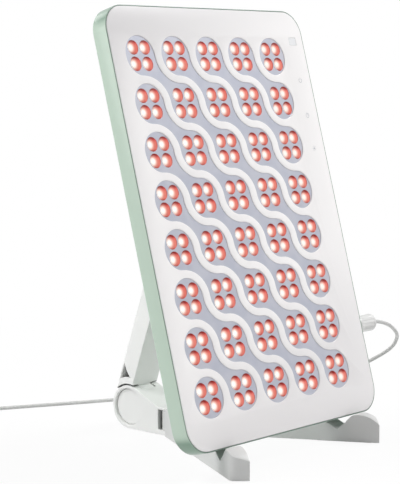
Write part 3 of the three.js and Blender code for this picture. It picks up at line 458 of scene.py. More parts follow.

# %% [markdown]
# ## Coral lenses over a silvered tray
# Each lens is a clear dome over a red light. From here its body looks coral, redder at the top and
# the bottom. Its crown, its far edge and its foot are painted deep red as shade, and the light
# itself is painted as a pale spot towards the left. That spot is where the light sits behind the
# lens, so it is painted by the place on each lens, which the mesh carries as the attribute
# `lens_place`: -1 to 1 across and up.
# The light adds a little of its own glow, and the lenses further to the right show a little less
# of it.

# %% The lens and tray finishes
EMITTER_PLACE = (-0.72, -0.12)
EMITTER_UP_WEIGHT = 0.95
GLOW_REACH = (1.12, 0.3)
CORE_REACH = (0.8, 0.1)
TOP_END = (0.05, 0.7)
LOW_END = (-0.5, -1.05)
LOW_END_SHARE = 0.55
CROWN = (0.38, 0.88)
FLANK = (0.45, 1.0)
FLANK_SHARE = 0.75
FOOT = (-0.75, -1.05)
FOOT_SHARE = 0.35
FAR_SIDE_M = (-0.06, 0.11)
FAR_SHIFT = 0.1
FAR_DIMMING = 0.2
EMBER = (0.03, 0.006, 0.004, 1)
EMITTER_GLOW = (1, 0.93, 0.86, 1)
TRAY_DRIFT_MM = 18
TRAY_SWING = 0.1


def lens_finish():
    """Coral, with its crown, its far flank and its foot darkened by painted shade, and the light's
    pale spot painted over it.
    """
    finish = Finish("lens_coral")
    place = finish.node("ShaderNodeAttribute", {"attribute_name": "lens_place"}, {}, 1)
    tone = finish.node("ShaderNodeAttribute", {"attribute_name": "lens_tone"}, {}, 2)
    across = finish.part(place, 0)
    up = finish.part(place, 1)
    far_side = finish.part(finish.place(), 0).between(*FAR_SIDE_M)
    from_light = ((across - EMITTER_PLACE[0]) ** 2
                  + (up - EMITTER_PLACE[1]) ** 2 * EMITTER_UP_WEIGHT) ** 0.5
    ends = up.between(*TOP_END) + up.between(*LOW_END) * LOW_END_SHARE
    # Painted shade: the crown, the far flank and the foot turn deep red.
    crown = (up + far_side * FAR_SHIFT).between(*CROWN)
    flank = (across + far_side * FAR_SHIFT).between(*FLANK) * FLANK_SHARE
    foot = up.between(*FOOT) * FOOT_SHARE
    lit_share = (1 - crown) * (1 - flank) * (1 - foot)
    glow = from_light.between(*GLOW_REACH) * (1 - far_side * FAR_DIMMING)
    core = from_light.between(*CORE_REACH) * (1 - far_side * FAR_DIMMING)
    coral = finish.blend(tone, paint(0xF28A7D), paint(0xEC7D70))
    red = finish.blend(ends, coral, paint(0xDE534D))
    edge = finish.blend(lit_share, paint(0x85201F), red)
    warm = finish.blend(glow, edge, paint(0xFFC0AF))
    return finish.shine(
        Base_Color=finish.blend(core, warm, paint(0xFFF8F2)),
        Roughness=0.4,
        Specular_IOR_Level=0.04,
        Emission_Color=finish.blend(core, EMBER, EMITTER_GLOW),
        Emission_Strength=0.5)


def tray_finish():
    finish = Finish("tray_silver")
    drift = finish.noise(TRAY_DRIFT_MM, detail=1.0)
    return finish.shine(
        Base_Color=finish.blend(drift.between(*DRIFT_STEP), paint(0xC2C4CF), paint(0xB9BCC9)),
        Metallic=0.25,
        Roughness=swinging(drift, TRAY_SWING, 0.35))


lens_coral = lens_finish()
tray_silver = tray_finish()
print("lens and tray", lens_coral.name, tray_silver.name)

# %% [markdown]
# ## Growing what repeats
# Geometry Nodes make the repeats: the trees below are written line by line, as the materials are.
# Their inputs have names and are set on the modifier by their identifiers. The result is read back
# as a plain mesh, so the modifier is gone before the piece joins the lamp.

# %% The tree writer
def finished_mesh(piece):
    """The plain mesh that the object's modifiers give."""
    graph = bpy.context.evaluated_depsgraph_get()
    return bpy.data.meshes.new_from_object(piece.evaluated_get(graph))


class Growth:
    """One Geometry Nodes tree, its named inputs and the calls that add nodes."""

    def __init__(self, name, **inputs):
        self.tree = bpy.data.node_groups.new(name, "GeometryNodeTree")
        self.tree.is_modifier = True
        sockets = self.tree.interface
        sockets.new_socket("Geometry", in_out="INPUT", socket_type="NodeSocketGeometry")
        self.values = {}
        for label, (kind, value) in inputs.items():
            socket = sockets.new_socket(label, in_out="INPUT", socket_type="NodeSocket" + kind)
            self.values[socket.identifier] = value
        sockets.new_socket("Geometry", in_out="OUTPUT", socket_type="NodeSocketGeometry")
        self.given = self.tree.nodes.new("NodeGroupInput").outputs

    def node(self, kind, settings, sockets, output=0):
        """Any node: its type, its settings, its sockets' values or links, and which output."""
        made = self.tree.nodes.new(kind)
        for setting, value in settings.items():
            setattr(made, setting, value)
        for name, value in sockets.items():
            if isinstance(value, bpy.types.NodeSocket):
                self.tree.links.new(value, made.inputs[name])
            else:
                made.inputs[name].default_value = value
        return made.outputs[output]

    def sum(self, operation, first, second):
        """One Math node on two numbers."""
        return self.node("ShaderNodeMath", {"operation": operation}, {0: first, 1: second})

    def grow(self, name, seed_mesh, last):
        """Runs the tree on seed_mesh and returns its plain mesh as a new object."""
        solid = self.node("GeometryNodeRealizeInstances", {}, {0: last})
        solid = self.node(
            "GeometryNodeSetMaterial", {}, {"Geometry": solid, "Material": self.given["Material"]})
        self.tree.links.new(solid, self.tree.nodes.new("NodeGroupOutput").inputs[0])
        seed = in_scene(name + "_seed", seed_mesh)
        growing = seed.modifiers.new("grow", "NODES")
        growing.node_group = self.tree
        for identifier, value in self.values.items():
            growing[identifier] = value
        grown = finished_mesh(seed)
        seed.modifiers.remove(growing)
        bpy.data.objects.remove(seed)
        print(name, len(grown.polygons), "faces")
        return in_scene(name, grown)


# %% [markdown]
# The panel leans back, so its pieces are drawn upright in a frame of their own, x to the right, y
# into the lamp and z up from the bottom edge. `on_panel` carries a finished mesh into place.

# %% The panel's own frame
PANEL_WIDTH = 274
PANEL_HEIGHT = 401
PANEL_DEPTH = 17.5
PANEL_CORNER = 24
PANEL_LEAN = math.radians(15.3)
PANEL_FRONT_Y = -91.6
PANEL_LOW_Z = 19.4
CREASE_DEG = 40
Z_TO_FRONT = Matrix.Rotation(math.pi / 2, 4, "X")
Z_TO_BACK = Matrix.Rotation(-math.pi / 2, 4, "X")

panel_foot = Vector((0, PANEL_FRONT_Y, PANEL_LOW_Z + PANEL_DEPTH * math.sin(PANEL_LEAN)))
panel_place = Matrix.Translation(panel_foot * MM) @ Matrix.Rotation(-PANEL_LEAN, 4, "X")


def seated(piece, body, slot, finish, smooth_deg, *replaced):
    """The last step of every piece: its finish, its shading and its place in the lamp."""
    piece.data.materials.clear()
    piece.data.materials.append(finish)
    piece.data.shade_smooth()
    piece.data.set_sharp_from_angle(angle=math.radians(smooth_deg))
    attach(piece, body)
    if replaced:
        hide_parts(*replaced)


def on_panel(mesh):
    """Millimetres in the panel's frame to metres in the lamp's."""
    mesh.transform(panel_place @ Matrix.Scale(MM, 4))


print("the panel's foot", [round(v, 2) for v in panel_foot])

# %% [markdown]
# ## One hundred and sixty lenses
# The seed is a single dome: five rings of sixteen, which is few faces but shades as smooth. The
# tree lays out a grid of pads, puts a square of four points on each pad, and an upright dome on
# each point. Copying the dome in Python would give the same field, but the tree does it from a few
# sizes, and its random tone, from a fixed seed, keeps the lenses from being copies of each other.

# %% The lens dome
LENS_RADIUS = 6.7
LENS_RISE = 1.5
LENS_SIDES = 16
LENS_RING_SHARES = (1.0, 0.965, 0.85, 0.62, 0.32)
LENS_SINK = 0.4


def circle(radius, sides):
    turns = [side / sides * 2 * math.pi for side in range(sides)]
    return [(radius * math.cos(turn), radius * math.sin(turn)) for turn in turns]


def written(name, shape):
    """The mesh of a bmesh, which is freed."""
    mesh = bpy.data.meshes.new(name)
    shape.to_mesh(mesh)
    shape.free()
    return mesh


def ring_of_quads(shape, near, far):
    """Joins two closed rings of points that have the same count."""
    for index, after in zip(range(len(near)), [*range(1, len(near)), 0]):
        shape.faces.new((near[index], near[after], far[after], far[index]))


def lens_dome():
    """A closed dome that stands up along z, with each point's place on it as an attribute."""
    shape = bmesh.new()
    rings = [
        [shape.verts.new((x, y, LENS_RISE * math.sqrt(1 - share ** 2)))
         for x, y in circle(LENS_RADIUS * share, LENS_SIDES)]
        for share in LENS_RING_SHARES]
    foot = [shape.verts.new((v.co.x, v.co.y, -LENS_SINK)) for v in rings[0]]
    rings.insert(0, foot)
    for lower, upper in zip(rings, rings[1:]):
        ring_of_quads(shape, lower, upper)
    top = shape.verts.new((0, 0, LENS_RISE))
    for side in range(LENS_SIDES):
        shape.faces.new((rings[-1][side], rings[-1][(side + 1) % LENS_SIDES], top))
    shape.faces.new(list(reversed(foot)))
    mesh = written("lens_dome", shape)
    place = mesh.attributes.new("lens_place", "FLOAT_VECTOR", "POINT")
    for point, vertex in zip(place.data, mesh.vertices):
        point.vector = (vertex.co.x / LENS_RADIUS, vertex.co.y / LENS_RADIUS, 0)
    return mesh


dome = lens_dome()
print("one lens", len(dome.polygons), "faces")

# %% [markdown]
# The tree's inputs are the sizes of the field: five columns and eight rows of pads. The field lies
# flat as it grows, and is then stood up with the domes to the front.

# %% The lens field
COLUMNS = 5
ROWS = 8
COLUMN_PITCH = 46
ROW_PITCH = 44
MARGIN_LEFT = 37
MARGIN_TOP = 46.5
LENS_PITCH = 15
LENSES_PER_SIDE = 2
TRAY_FRONT = 0.65
TONE_SEED = 7
LENS_CREASE_DEG = 60

field = Growth(
    "lens_field", Columns=("Int", COLUMNS), Rows=("Int", ROWS),
    Column_Pitch=("Float", COLUMN_PITCH), Row_Pitch=("Float", ROW_PITCH),
    Lens_Pitch=("Float", LENS_PITCH), Seed=("Int", TONE_SEED), Material=("Material", lens_coral))
given = field.given
across = field.sum("MULTIPLY", field.sum("SUBTRACT", given["Columns"], 1), given["Column_Pitch"])
up = field.sum("MULTIPLY", field.sum("SUBTRACT", given["Rows"], 1), given["Row_Pitch"])
pads = field.node("GeometryNodeMeshGrid", {}, {
    "Size X": across, "Size Y": up, "Vertices X": given["Columns"], "Vertices Y": given["Rows"]})
four = field.node("GeometryNodeMeshGrid", {}, {
    "Size X": given["Lens_Pitch"], "Size Y": given["Lens_Pitch"],
    "Vertices X": LENSES_PER_SIDE, "Vertices Y": LENSES_PER_SIDE})
squares = field.node("GeometryNodeInstanceOnPoints", {}, {"Points": pads, "Instance": four})
places = field.node("GeometryNodeRealizeInstances", {}, {0: squares})
lenses = field.node(
    "GeometryNodeInstanceOnPoints", {}, {"Points": places, "Instance": given["Geometry"]})
chance = field.node("FunctionNodeRandomValue", {"data_type": "FLOAT"}, {"Seed": given["Seed"]}, 1)
toned = field.node(
    "GeometryNodeStoreNamedAttribute", {"data_type": "FLOAT", "domain": "INSTANCE"},
    {"Geometry": lenses, "Name": "lens_tone", "Value": chance})
lens_field = field.grow("lens_domes", dome, toned)
field_middle = Vector((
    -PANEL_WIDTH / 2 + MARGIN_LEFT + (COLUMNS - 1) * COLUMN_PITCH / 2,
    TRAY_FRONT,
    PANEL_HEIGHT - MARGIN_TOP - (ROWS - 1) * ROW_PITCH / 2))
lens_field.data.transform(Matrix.Translation(field_middle) @ Z_TO_FRONT)
on_panel(lens_field.data)
seated(lens_field, "panel", "lens_red", lens_coral, LENS_CREASE_DEG, "lens_sheet")

# %% [markdown]
# ## The white front plate
# Its windows follow one rule: a diagonal chain of round pads, joined by S-shaped necks whose sides
# are the circles round the next pads over. Growing the pad circles and shrinking the neck circles
# by the same amount gives the same outline a little larger, so the rounded lip of a window is a
# stack of such outlines. Each quarter of a circle is named by the shares of a full turn where it
# starts and ends.

# %% Outlines
PAD_RADIUS = 18.4
ARC_STEPS = 12
CORNER_STEPS = 14
SAME_PLACE = 0.03
FULL_TURN = 2 * math.pi


def column_x(column):
    return -PANEL_WIDTH / 2 + MARGIN_LEFT + column * COLUMN_PITCH


def row_z(row):
    return PANEL_HEIGHT - MARGIN_TOP - row * ROW_PITCH


def arc(centre, radius_x, radius_z, start_share, end_share):
    for step in range(ARC_STEPS):
        turn = (start_share + (end_share - start_share) * step / ARC_STEPS) * FULL_TURN
        yield centre[0] + radius_x * math.cos(turn), centre[1] + radius_z * math.sin(turn)


def wave_outline(column, row, count, grow):
    """The outline of one window, from the pad at column and row down to the right."""
    pad_reach = PAD_RADIUS + grow
    neck = COLUMN_PITCH - PAD_RADIUS - grow, ROW_PITCH - PAD_RADIUS - grow
    pad = [(column_x(column + step), row_z(row + step)) for step in range(count)]
    right = [(column_x(column + step + 1), row_z(row + step)) for step in range(count)]
    below = [(column_x(column + step), row_z(row + step + 1)) for step in range(count)]
    points = []
    for step in range(count):
        points.extend(arc(pad[step], pad_reach, pad_reach, 1 / 4, 0))
        if step < count - 1:
            points.extend(arc(right[step], *neck, 1 / 2, 3 / 4))
    points.extend(arc(pad[-1], pad_reach, pad_reach, 0, -1 / 4))
    for step in reversed(range(count)):
        points.extend(arc(pad[step], pad_reach, pad_reach, 3 / 4, 1 / 2))
        if step:
            points.extend(arc(below[step - 1], *neck, 0, 1 / 4))
    points.extend(arc(pad[0], pad_reach, pad_reach, 1 / 2, 1 / 4))
    return [point for point, after in zip(points, points[1:] + points[:1])
            if math.dist(point, after) > SAME_PLACE]


def round_outline(width, height, radius, middle=(0, 0)):
    """A rectangle with round corners, from its lower right corner round to the left."""
    points = []
    for turn_share, side_x, side_z in (
            (3 / 4, 1, -1), (0, 1, 1), (1 / 4, -1, 1), (1 / 2, -1, -1)):
        x = middle[0] + side_x * (width / 2 - radius)
        z = middle[1] + side_z * (height / 2 - radius)
        for step in range(CORNER_STEPS + 1):
            turn = (turn_share + step / CORNER_STEPS / 4) * FULL_TURN
            points.append((x + radius * math.cos(turn), z + radius * math.sin(turn)))
    return points


def panel_outline(inset):
    return round_outline(
        PANEL_WIDTH - 2 * inset, PANEL_HEIGHT - 2 * inset, PANEL_CORNER - inset,
        (0, PANEL_HEIGHT / 2))


window_starts = [(0, row, min(COLUMNS, ROWS - row)) for row in range(ROWS)]
window_starts += [(column, 0, COLUMNS - column) for column in range(1, COLUMNS)]
print("windows", len(window_starts))

# %% [markdown]
# A wall is a stack of outlines, each with its depth, joined by quads. A lid fills the flat area
# inside one outline and outside others, with Blender's own polygon filler. A rounded edge is a few
# outlines, each a little further out and a little deeper than the one in front of it.

# %% Walls and lids
def add_wall(shape, outlines):
    """Joins (outline, depth) pairs of equal length, and returns the first and last rings."""
    rings = [[shape.verts.new((x, depth, z)) for x, z in points] for points, depth in outlines]
    for near, far in zip(rings, rings[1:]):
        ring_of_quads(shape, near, far)
    return rings[0], rings[-1]


def add_lid(shape, rings):
    """Fills inside the first ring of points and outside the others."""
    flat = [[Vector((vertex.co.x, vertex.co.z, 0)) for vertex in ring] for ring in rings]
    corners = [vertex for ring in rings for vertex in ring]
    for triangle in geometry.tessellate_polygon(flat):
        shape.faces.new([corners[index] for index in triangle])


def outward_mesh(name, shape):
    """The mesh of a closed bmesh, with its faces turned outwards."""
    bmesh.ops.recalc_face_normals(shape, faces=shape.faces)
    return written(name, shape)


def panel_piece(name, shape):
    mesh = outward_mesh(name, shape)
    on_panel(mesh)
    print(name, len(mesh.polygons), "faces")
    return in_scene(name, mesh)


def rounding(radius, steps):
    """How far in and how deep a quarter-round edge is, from the front face back."""
    for step in range(steps + 1):
        turn = step / steps * math.pi / 2
        yield radius * (1 - math.sin(turn)), radius * (1 - math.cos(turn))


# %% [markdown]
# The plate is one shell: a rounded outer edge, a rounded lip round each window, a shallow seat for
# the display, and flat lids in front and behind. Windows cut by a Boolean would need their lips
# bevelled afterwards, and a bevel often fails on so many short edges.

# %% The front plate
FRONT_INSET = 1.2
FRONT_ROUND = 0.45
FRONT_THICKNESS = 0.6
WINDOW_ROUND = 0.52
DISPLAY_WIDTH = 11
DISPLAY_HEIGHT = 8
DISPLAY_ROUND = 1
DISPLAY_SEAT = 0.55
DISPLAY_PLACE = (120, 370)
ROUND_STEPS = 4

plate_shape = bmesh.new()
outer_edge = [(panel_outline(FRONT_INSET + inward), depth)
              for inward, depth in rounding(FRONT_ROUND, ROUND_STEPS)]
outer_edge.append((panel_outline(FRONT_INSET), FRONT_THICKNESS))
front_ring, back_ring = add_wall(plate_shape, outer_edge)
fronts, backs = [front_ring], [back_ring]
for start in window_starts:
    lip = [(wave_outline(*start, inward), depth)
           for inward, depth in rounding(WINDOW_ROUND, ROUND_STEPS)]
    lip.append((wave_outline(*start, 0), FRONT_THICKNESS))
    front_ring, back_ring = add_wall(plate_shape, lip)
    fronts.append(front_ring)
    backs.append(back_ring)
display_edge = round_outline(DISPLAY_WIDTH, DISPLAY_HEIGHT, DISPLAY_ROUND, DISPLAY_PLACE)
front_ring, seat_ring = add_wall(plate_shape, [(display_edge, 0), (display_edge, DISPLAY_SEAT)])
fronts.append(front_ring)
for rings in (fronts, backs, [seat_ring]):
    add_lid(plate_shape, rings)
front_plate = panel_piece("front_shell", plate_shape)
seated(front_plate, "panel", "front_white", plate_white, CREASE_DEG, "front_plate")

# %% [markdown]
# Behind the windows lies a silvered tray. It is one plain sheet, which the windows frame, and the
# lenses stand on it. Cutting it to the windows would only add edges that nobody sees. A full mirror
# would take its tone from the studio alone, so the finish is only part metal and keeps a grey of
# its own.

# %% The tray
FRAME_WALL = 2.2
TRAY_THICKNESS = 1.2
TRAY_RIGHT = 106.4

tray_inset = FRAME_WALL + REST_GAP
tray_width = TRAY_RIGHT + PANEL_WIDTH / 2 - tray_inset
tray_edge = round_outline(
    tray_width, PANEL_HEIGHT - 2 * tray_inset, PANEL_CORNER - FRAME_WALL,
    (TRAY_RIGHT - tray_width / 2, PANEL_HEIGHT / 2))
tray_shape = bmesh.new()
rings = add_wall(tray_shape, [(tray_edge, TRAY_FRONT), (tray_edge, TRAY_FRONT + TRAY_THICKNESS)])
for ring in rings:
    add_lid(tray_shape, [ring])
tray = panel_piece("lens_tray", tray_shape)
seated(tray, "panel", "lens_red", tray_silver, CREASE_DEG)

# %% [markdown]
# ## The sage green side
# One moulded ring goes round the panel. Its thin front lip frames the white plate, with a shadow
# line between them, and its rear edge is rounded for the hands. The ring is one section swept
# along the panel's outline. The seed holds the section, the outline is a rectangle with filleted
# corners, and the tree carries the one along the other. A hollowed slab with bevelled edges would
# come close, but the front and rear edges are rounded differently, and a section draws both as they
# are, the same all the way round.

# %% The side ring
RIM_SET = 0.3
RIM_WALL = 0.9
RIM_FRONT_ROUND = 0.35
RIM_REAR_ROUND = 1.6
RIM_REAR_STEPS = 6
RIM_SEAT = 1.8
RING_CREASE_DEG = 50

section = [(inward, RIM_SET + depth) for inward, depth in rounding(RIM_FRONT_ROUND, ROUND_STEPS)]
section += [(inward, PANEL_DEPTH - depth)
            for inward, depth in reversed(list(rounding(RIM_REAR_ROUND, RIM_REAR_STEPS)))]
section += [
    (FRAME_WALL, PANEL_DEPTH), (FRAME_WALL, RIM_SEAT), (RIM_WALL, RIM_SEAT), (RIM_WALL, RIM_SET)]
section_mesh = bpy.data.meshes.new("ring_section")
section_mesh.from_pydata(
    [(-inset, depth, 0) for inset, depth in section],
    [(index, (index + 1) % len(section)) for index in range(len(section))], [])

sweep = Growth(
    "ring_sweep", Width=("Float", PANEL_WIDTH), Height=("Float", PANEL_HEIGHT),
    Corner=("Float", PANEL_CORNER), Corner_Steps=("Int", CORNER_STEPS),
    Material=("Material", sage_ring))
given = sweep.given
path = sweep.node("GeometryNodeCurvePrimitiveQuadrilateral", {}, {
    "Width": given["Width"], "Height": given["Height"]})
path = sweep.node("GeometryNodeFilletCurve", {"mode": "POLY"}, {
    "Curve": path, "Count": given["Corner_Steps"], "Radius": given["Corner"]})
path = sweep.node("GeometryNodeSetCurveNormal", {"mode": "Z_UP"}, {"Curve": path})
profile = sweep.node("GeometryNodeMeshToCurve", {}, {"Mesh": given["Geometry"]})
swept = sweep.node("GeometryNodeCurveToMesh", {}, {"Curve": path, "Profile Curve": profile})
side_ring = sweep.grow("side_shell", section_mesh, swept)
side_ring.data.transform(Matrix.Translation((0, 0, PANEL_HEIGHT / 2)) @ Z_TO_FRONT)
on_panel(side_ring.data)
seated(side_ring, "panel", "sage_shell", sage_ring, RING_CREASE_DEG, "side_frame")

# %% [markdown]
# Three touch keys sit under the display. They have no buttons, only small grey marks printed on
# the plate: power, timer and brightness. They could be painted in the plate's material, but
# strokes of real geometry, a hair proud of the plate, stay sharp from near by. A stroke is an arc
# or a bar, told by its shares of a full turn and by how far from the mark's middle it runs.

# %% The touch marks
MARK_X = 119.7
POWER_Z = 330.5
TIMER_Z = 295
GLOW_Z = 261.7
MARK_RADIUS = 2.2
MARK_STROKE = 0.5
MARK_PROUD = 0.06
MARK_SINK = 0.2
UP = 1 / 4
RIGHT = 0
POWER_ARC = (0.36, 1.14)
POWER_BAR = (0.5, 2.7)
TIMER_ARC = (0.26, 1.24)
LONG_HAND = (0.1, 1.5)
SHORT_HAND = (0.4, 1.3)
TIMER_KNOB = (2.7, 3.2)
RAYS = 8
RAY_REACH = (1.7, 2.6)
GLOW_DOT = 2
WELD = 0.01


def arc_stroke(height, start_share, end_share):
    """The outline of a bent stroke round the middle of the mark at that height."""
    steps = 2 * ARC_STEPS
    turns = [(start_share + (end_share - start_share) * step / steps) * FULL_TURN
             for step in range(steps + 1)]
    outside, inside = (
        [(MARK_X + radius * math.cos(turn), height + radius * math.sin(turn)) for turn in turns]
        for radius in (MARK_RADIUS + MARK_STROKE / 2, MARK_RADIUS - MARK_STROKE / 2))
    return outside + inside[::-1]


def bar_stroke(height, turn_share, near, far):
    """The outline of a straight stroke that points away from the middle of the mark."""
    turn = turn_share * FULL_TURN
    along_x, along_z = math.cos(turn), math.sin(turn)
    half = MARK_STROKE / 2
    return [(MARK_X + along_x * reach - along_z * aside, height + along_z * reach + along_x * aside)
            for reach, aside in ((near, -half), (far, -half), (far, half), (near, half))]


strokes = [
    arc_stroke(POWER_Z, *POWER_ARC), bar_stroke(POWER_Z, UP, *POWER_BAR),
    arc_stroke(TIMER_Z, *TIMER_ARC), bar_stroke(TIMER_Z, UP, *LONG_HAND),
    bar_stroke(TIMER_Z, RIGHT, *SHORT_HAND), bar_stroke(TIMER_Z, UP, *TIMER_KNOB)]
strokes += [bar_stroke(GLOW_Z, ray / RAYS, *RAY_REACH) for ray in range(RAYS)]
strokes.append(round_outline(GLOW_DOT, GLOW_DOT, GLOW_DOT / 2, (MARK_X, GLOW_Z)))
marks_shape = bmesh.new()
for outline in strokes:
    for ring in add_wall(marks_shape, [(outline, -MARK_PROUD), (outline, MARK_SINK)]):
        add_lid(marks_shape, [ring])
bmesh.ops.remove_doubles(marks_shape, verts=marks_shape.verts, dist=WELD)
marks = panel_piece("touch_marks", marks_shape)
seated(marks, "panel", "display_glass", mark_grey, CREASE_DEG)

# %% [markdown]
# ## Screws at the back
# Six screws hold the rear cover and four the hinge bracket. The seed is one pan head with a cross
# recess. The tree lays a grid of points, moves the middle row out to where the cover's bosses
# stand, and puts a head on each point with its own turn. Ten copies placed by hand would do as
# well, but their recesses would all point the same way, as screws never do.

# %% One screw head
HEAD_RADIUS = 2.9
HEAD_HEIGHT = 1.6
HEAD_ROUND = 0.5
HEAD_SIDES = 24
CROSS_REACH = 1.5
CROSS_HALF = 0.42
CROSS_DEPTH = 0.9
EDGE_STEPS = 3


def screw_head():
    """A pan head standing up along z, its face at 0."""
    head = [(circle(HEAD_RADIUS - inward, HEAD_SIDES), depth)
            for inward, depth in rounding(HEAD_ROUND, EDGE_STEPS)]
    head.append((circle(HEAD_RADIUS, HEAD_SIDES), HEAD_HEIGHT))
    quarter = [(CROSS_REACH, -CROSS_HALF), (CROSS_REACH, CROSS_HALF), (CROSS_HALF, CROSS_HALF)]
    cross = []
    for _ in range(4):
        cross.extend(quarter)
        quarter = [(-z, x) for x, z in quarter]
    shape = bmesh.new()
    face, base = add_wall(shape, head)
    mouth, floor = add_wall(shape, [(cross, 0), (cross, CROSS_DEPTH)])
    for rings in ([face, mouth], [floor], [base]):
        add_lid(shape, rings)
    mesh = outward_mesh("screw_head", shape)
    mesh.transform(Z_TO_BACK)
    return mesh


# %% [markdown]
# A tree's inputs are the sizes of the grid, so the same tree places both sets of screws. Only rows
# within a millimetre of the grid's middle are spread, and the bracket has none there.

# %% The screw heads
TURN_SEED = 3
MIDDLE_REACH = 1
SCREW_SETS = {
    "cover_screw": ((0, 18.2, 200.5), {
        "width": 252.02, "height": 379.02, "columns": 2, "rows": 3, "middle_spread": 5.39}),
    "bracket_screw": ((0, 22.7, 294.9), {
        "width": 9, "height": 32, "columns": 2, "rows": 2, "middle_spread": 0}),
}


def screw_rows(name, width, height, columns, rows, middle_spread):
    tree = Growth(
        name, Width=("Float", width), Height=("Float", height), Columns=("Int", columns),
        Rows=("Int", rows), Middle_Spread=("Float", middle_spread), Seed=("Int", TURN_SEED),
        Material=("Material", pin_steel))
    given = tree.given
    grid = tree.node("GeometryNodeMeshGrid", {}, {
        "Size X": given["Width"], "Size Y": given["Height"],
        "Vertices X": given["Columns"], "Vertices Y": given["Rows"]})
    position = tree.node("GeometryNodeInputPosition", {}, {})
    across, up = (tree.node("ShaderNodeSeparateXYZ", {}, {0: position}, axis) for axis in (0, 1))
    in_middle = tree.sum("LESS_THAN", tree.sum("ABSOLUTE", up, 0), MIDDLE_REACH)
    spread = tree.sum("MULTIPLY", tree.sum("SIGN", across, 0), in_middle)
    shift = tree.node(
        "ShaderNodeCombineXYZ", {}, {0: tree.sum("MULTIPLY", spread, given["Middle_Spread"])})
    places = tree.node("GeometryNodeSetPosition", {}, {"Geometry": grid, "Offset": shift})
    chance = tree.node(
        "FunctionNodeRandomValue", {"data_type": "FLOAT"}, {"Seed": given["Seed"]}, 1)
    turn = tree.node("ShaderNodeCombineXYZ", {}, {2: tree.sum("MULTIPLY", chance, math.pi)})
    heads = tree.node("GeometryNodeInstanceOnPoints", {}, {
        "Points": places, "Instance": given["Geometry"], "Rotation": turn})
    return tree.grow(name, screw_head(), heads)


for name, (face_place, grid) in SCREW_SETS.items():
    heads = screw_rows(name + "_heads", **grid)
    heads.data.transform(Matrix.Translation(face_place) @ Z_TO_BACK)
    on_panel(heads.data)
    nodes = [f"{name}_{number + 1}" for number in range(grid["columns"] * grid["rows"])]
    seated(heads, "panel", "pin_steel", pin_steel, CREASE_DEG, *nodes)

# %% [markdown]
# ## The plug's grip
# The plug is a round barrel with grip ribs along it and a short neck for the cord. The ribs follow
# one rule: the surface sinks by a cosine of the angle round the barrel, faded out at both ends.
# The seed is the smooth barrel, and the tree moves its points by that rule. Grooves cut one by one
# would end in hard steps, which a moulded grip doesn't have.

# %% The smooth barrel
PLUG_RADIUS = 8.5
PLUG_LENGTH = 25
PLUG_EDGE = 0.8
NECK_WIDE = 6.8
NECK_SLIM = 3.4
NECK_LENGTH = 6
PLUG_RIBS = 14
SIDES_PER_RIB = 8
RIB_FROM = 5
RIB_TO = 21
RIB_FADE = 1.5


def plug_barrel():
    """The smooth grip and neck, along x from 0."""
    rounded = list(rounding(PLUG_EDGE, EDGE_STEPS))
    profile = [(PLUG_RADIUS - inward, depth) for inward, depth in rounded]
    profile += [(PLUG_RADIUS, along) for along in (
        RIB_FROM - RIB_FADE, RIB_FROM - RIB_FADE / 2, RIB_FROM,
        RIB_TO, RIB_TO + RIB_FADE / 2, RIB_TO + RIB_FADE)]
    profile += [(PLUG_RADIUS - inward, PLUG_LENGTH - depth) for inward, depth in reversed(rounded)]
    profile += [(NECK_WIDE, PLUG_LENGTH), (NECK_SLIM, PLUG_LENGTH + NECK_LENGTH)]
    sides = PLUG_RIBS * SIDES_PER_RIB
    shape = bmesh.new()
    for ring in add_wall(shape, [(circle(radius, sides), along) for radius, along in profile]):
        add_lid(shape, [ring])
    mesh = outward_mesh("plug_barrel", shape)
    mesh.transform(Matrix.Rotation(-math.pi / 2, 4, "Z"))
    return mesh


barrel = plug_barrel()
print("smooth barrel", len(barrel.polygons), "faces")

# %% [markdown]
# The tree reads each point's place, works out how deep the surface sinks there, and moves the
# point towards the barrel's middle line by as much.

# %% The ribs
PLUG_PLACE = (137.3, 8.75, 84)
RIB_DEPTH = 0.5
PLUG_CREASE_DEG = 30

ribbed = Growth(
    "plug_ribs", Ribs=("Int", PLUG_RIBS), Depth=("Float", RIB_DEPTH), From=("Float", RIB_FROM),
    To=("Float", RIB_TO), Fade=("Float", RIB_FADE), Material=("Material", supply_white))
given = ribbed.given
place = ribbed.node("GeometryNodeInputPosition", {}, {})
along, sideways, upward = (
    ribbed.node("ShaderNodeSeparateXYZ", {}, {0: place}, axis) for axis in range(3))
angle = ribbed.sum("ARCTAN2", upward, sideways)
ripple = ribbed.sum("COSINE", ribbed.sum("MULTIPLY", angle, given["Ribs"]), 0)
dip = ribbed.sum("MULTIPLY", ribbed.sum("SUBTRACT", 1, ripple), 0.5)
fade_in = ribbed.node("ShaderNodeMapRange", {}, {
    "Value": along, "From Min": ribbed.sum("SUBTRACT", given["From"], given["Fade"]),
    "From Max": given["From"]})
fade_out = ribbed.node("ShaderNodeMapRange", {}, {
    "Value": along, "From Min": ribbed.sum("ADD", given["To"], given["Fade"]),
    "From Max": given["To"]})
strength = ribbed.sum("MULTIPLY", ribbed.sum("MULTIPLY", fade_in, fade_out), dip)
inward = ribbed.sum("MULTIPLY", ribbed.sum("MULTIPLY", strength, given["Depth"]), -1)
radial = ribbed.node("ShaderNodeVectorMath", {"operation": "NORMALIZE"}, {
    0: ribbed.node("ShaderNodeCombineXYZ", {}, {1: sideways, 2: upward})})
shift = ribbed.node("ShaderNodeVectorMath", {"operation": "SCALE"}, {0: radial, "Scale": inward})
moved = ribbed.node(
    "GeometryNodeSetPosition", {}, {"Geometry": given["Geometry"], "Offset": shift})
plug_grip = ribbed.grow("plug_grip", barrel, moved)
plug_grip.data.transform(Matrix.Translation(PLUG_PLACE))
on_panel(plug_grip.data)
seated(plug_grip, "panel", "supply_white", supply_white, PLUG_CREASE_DEG, "plug_body")

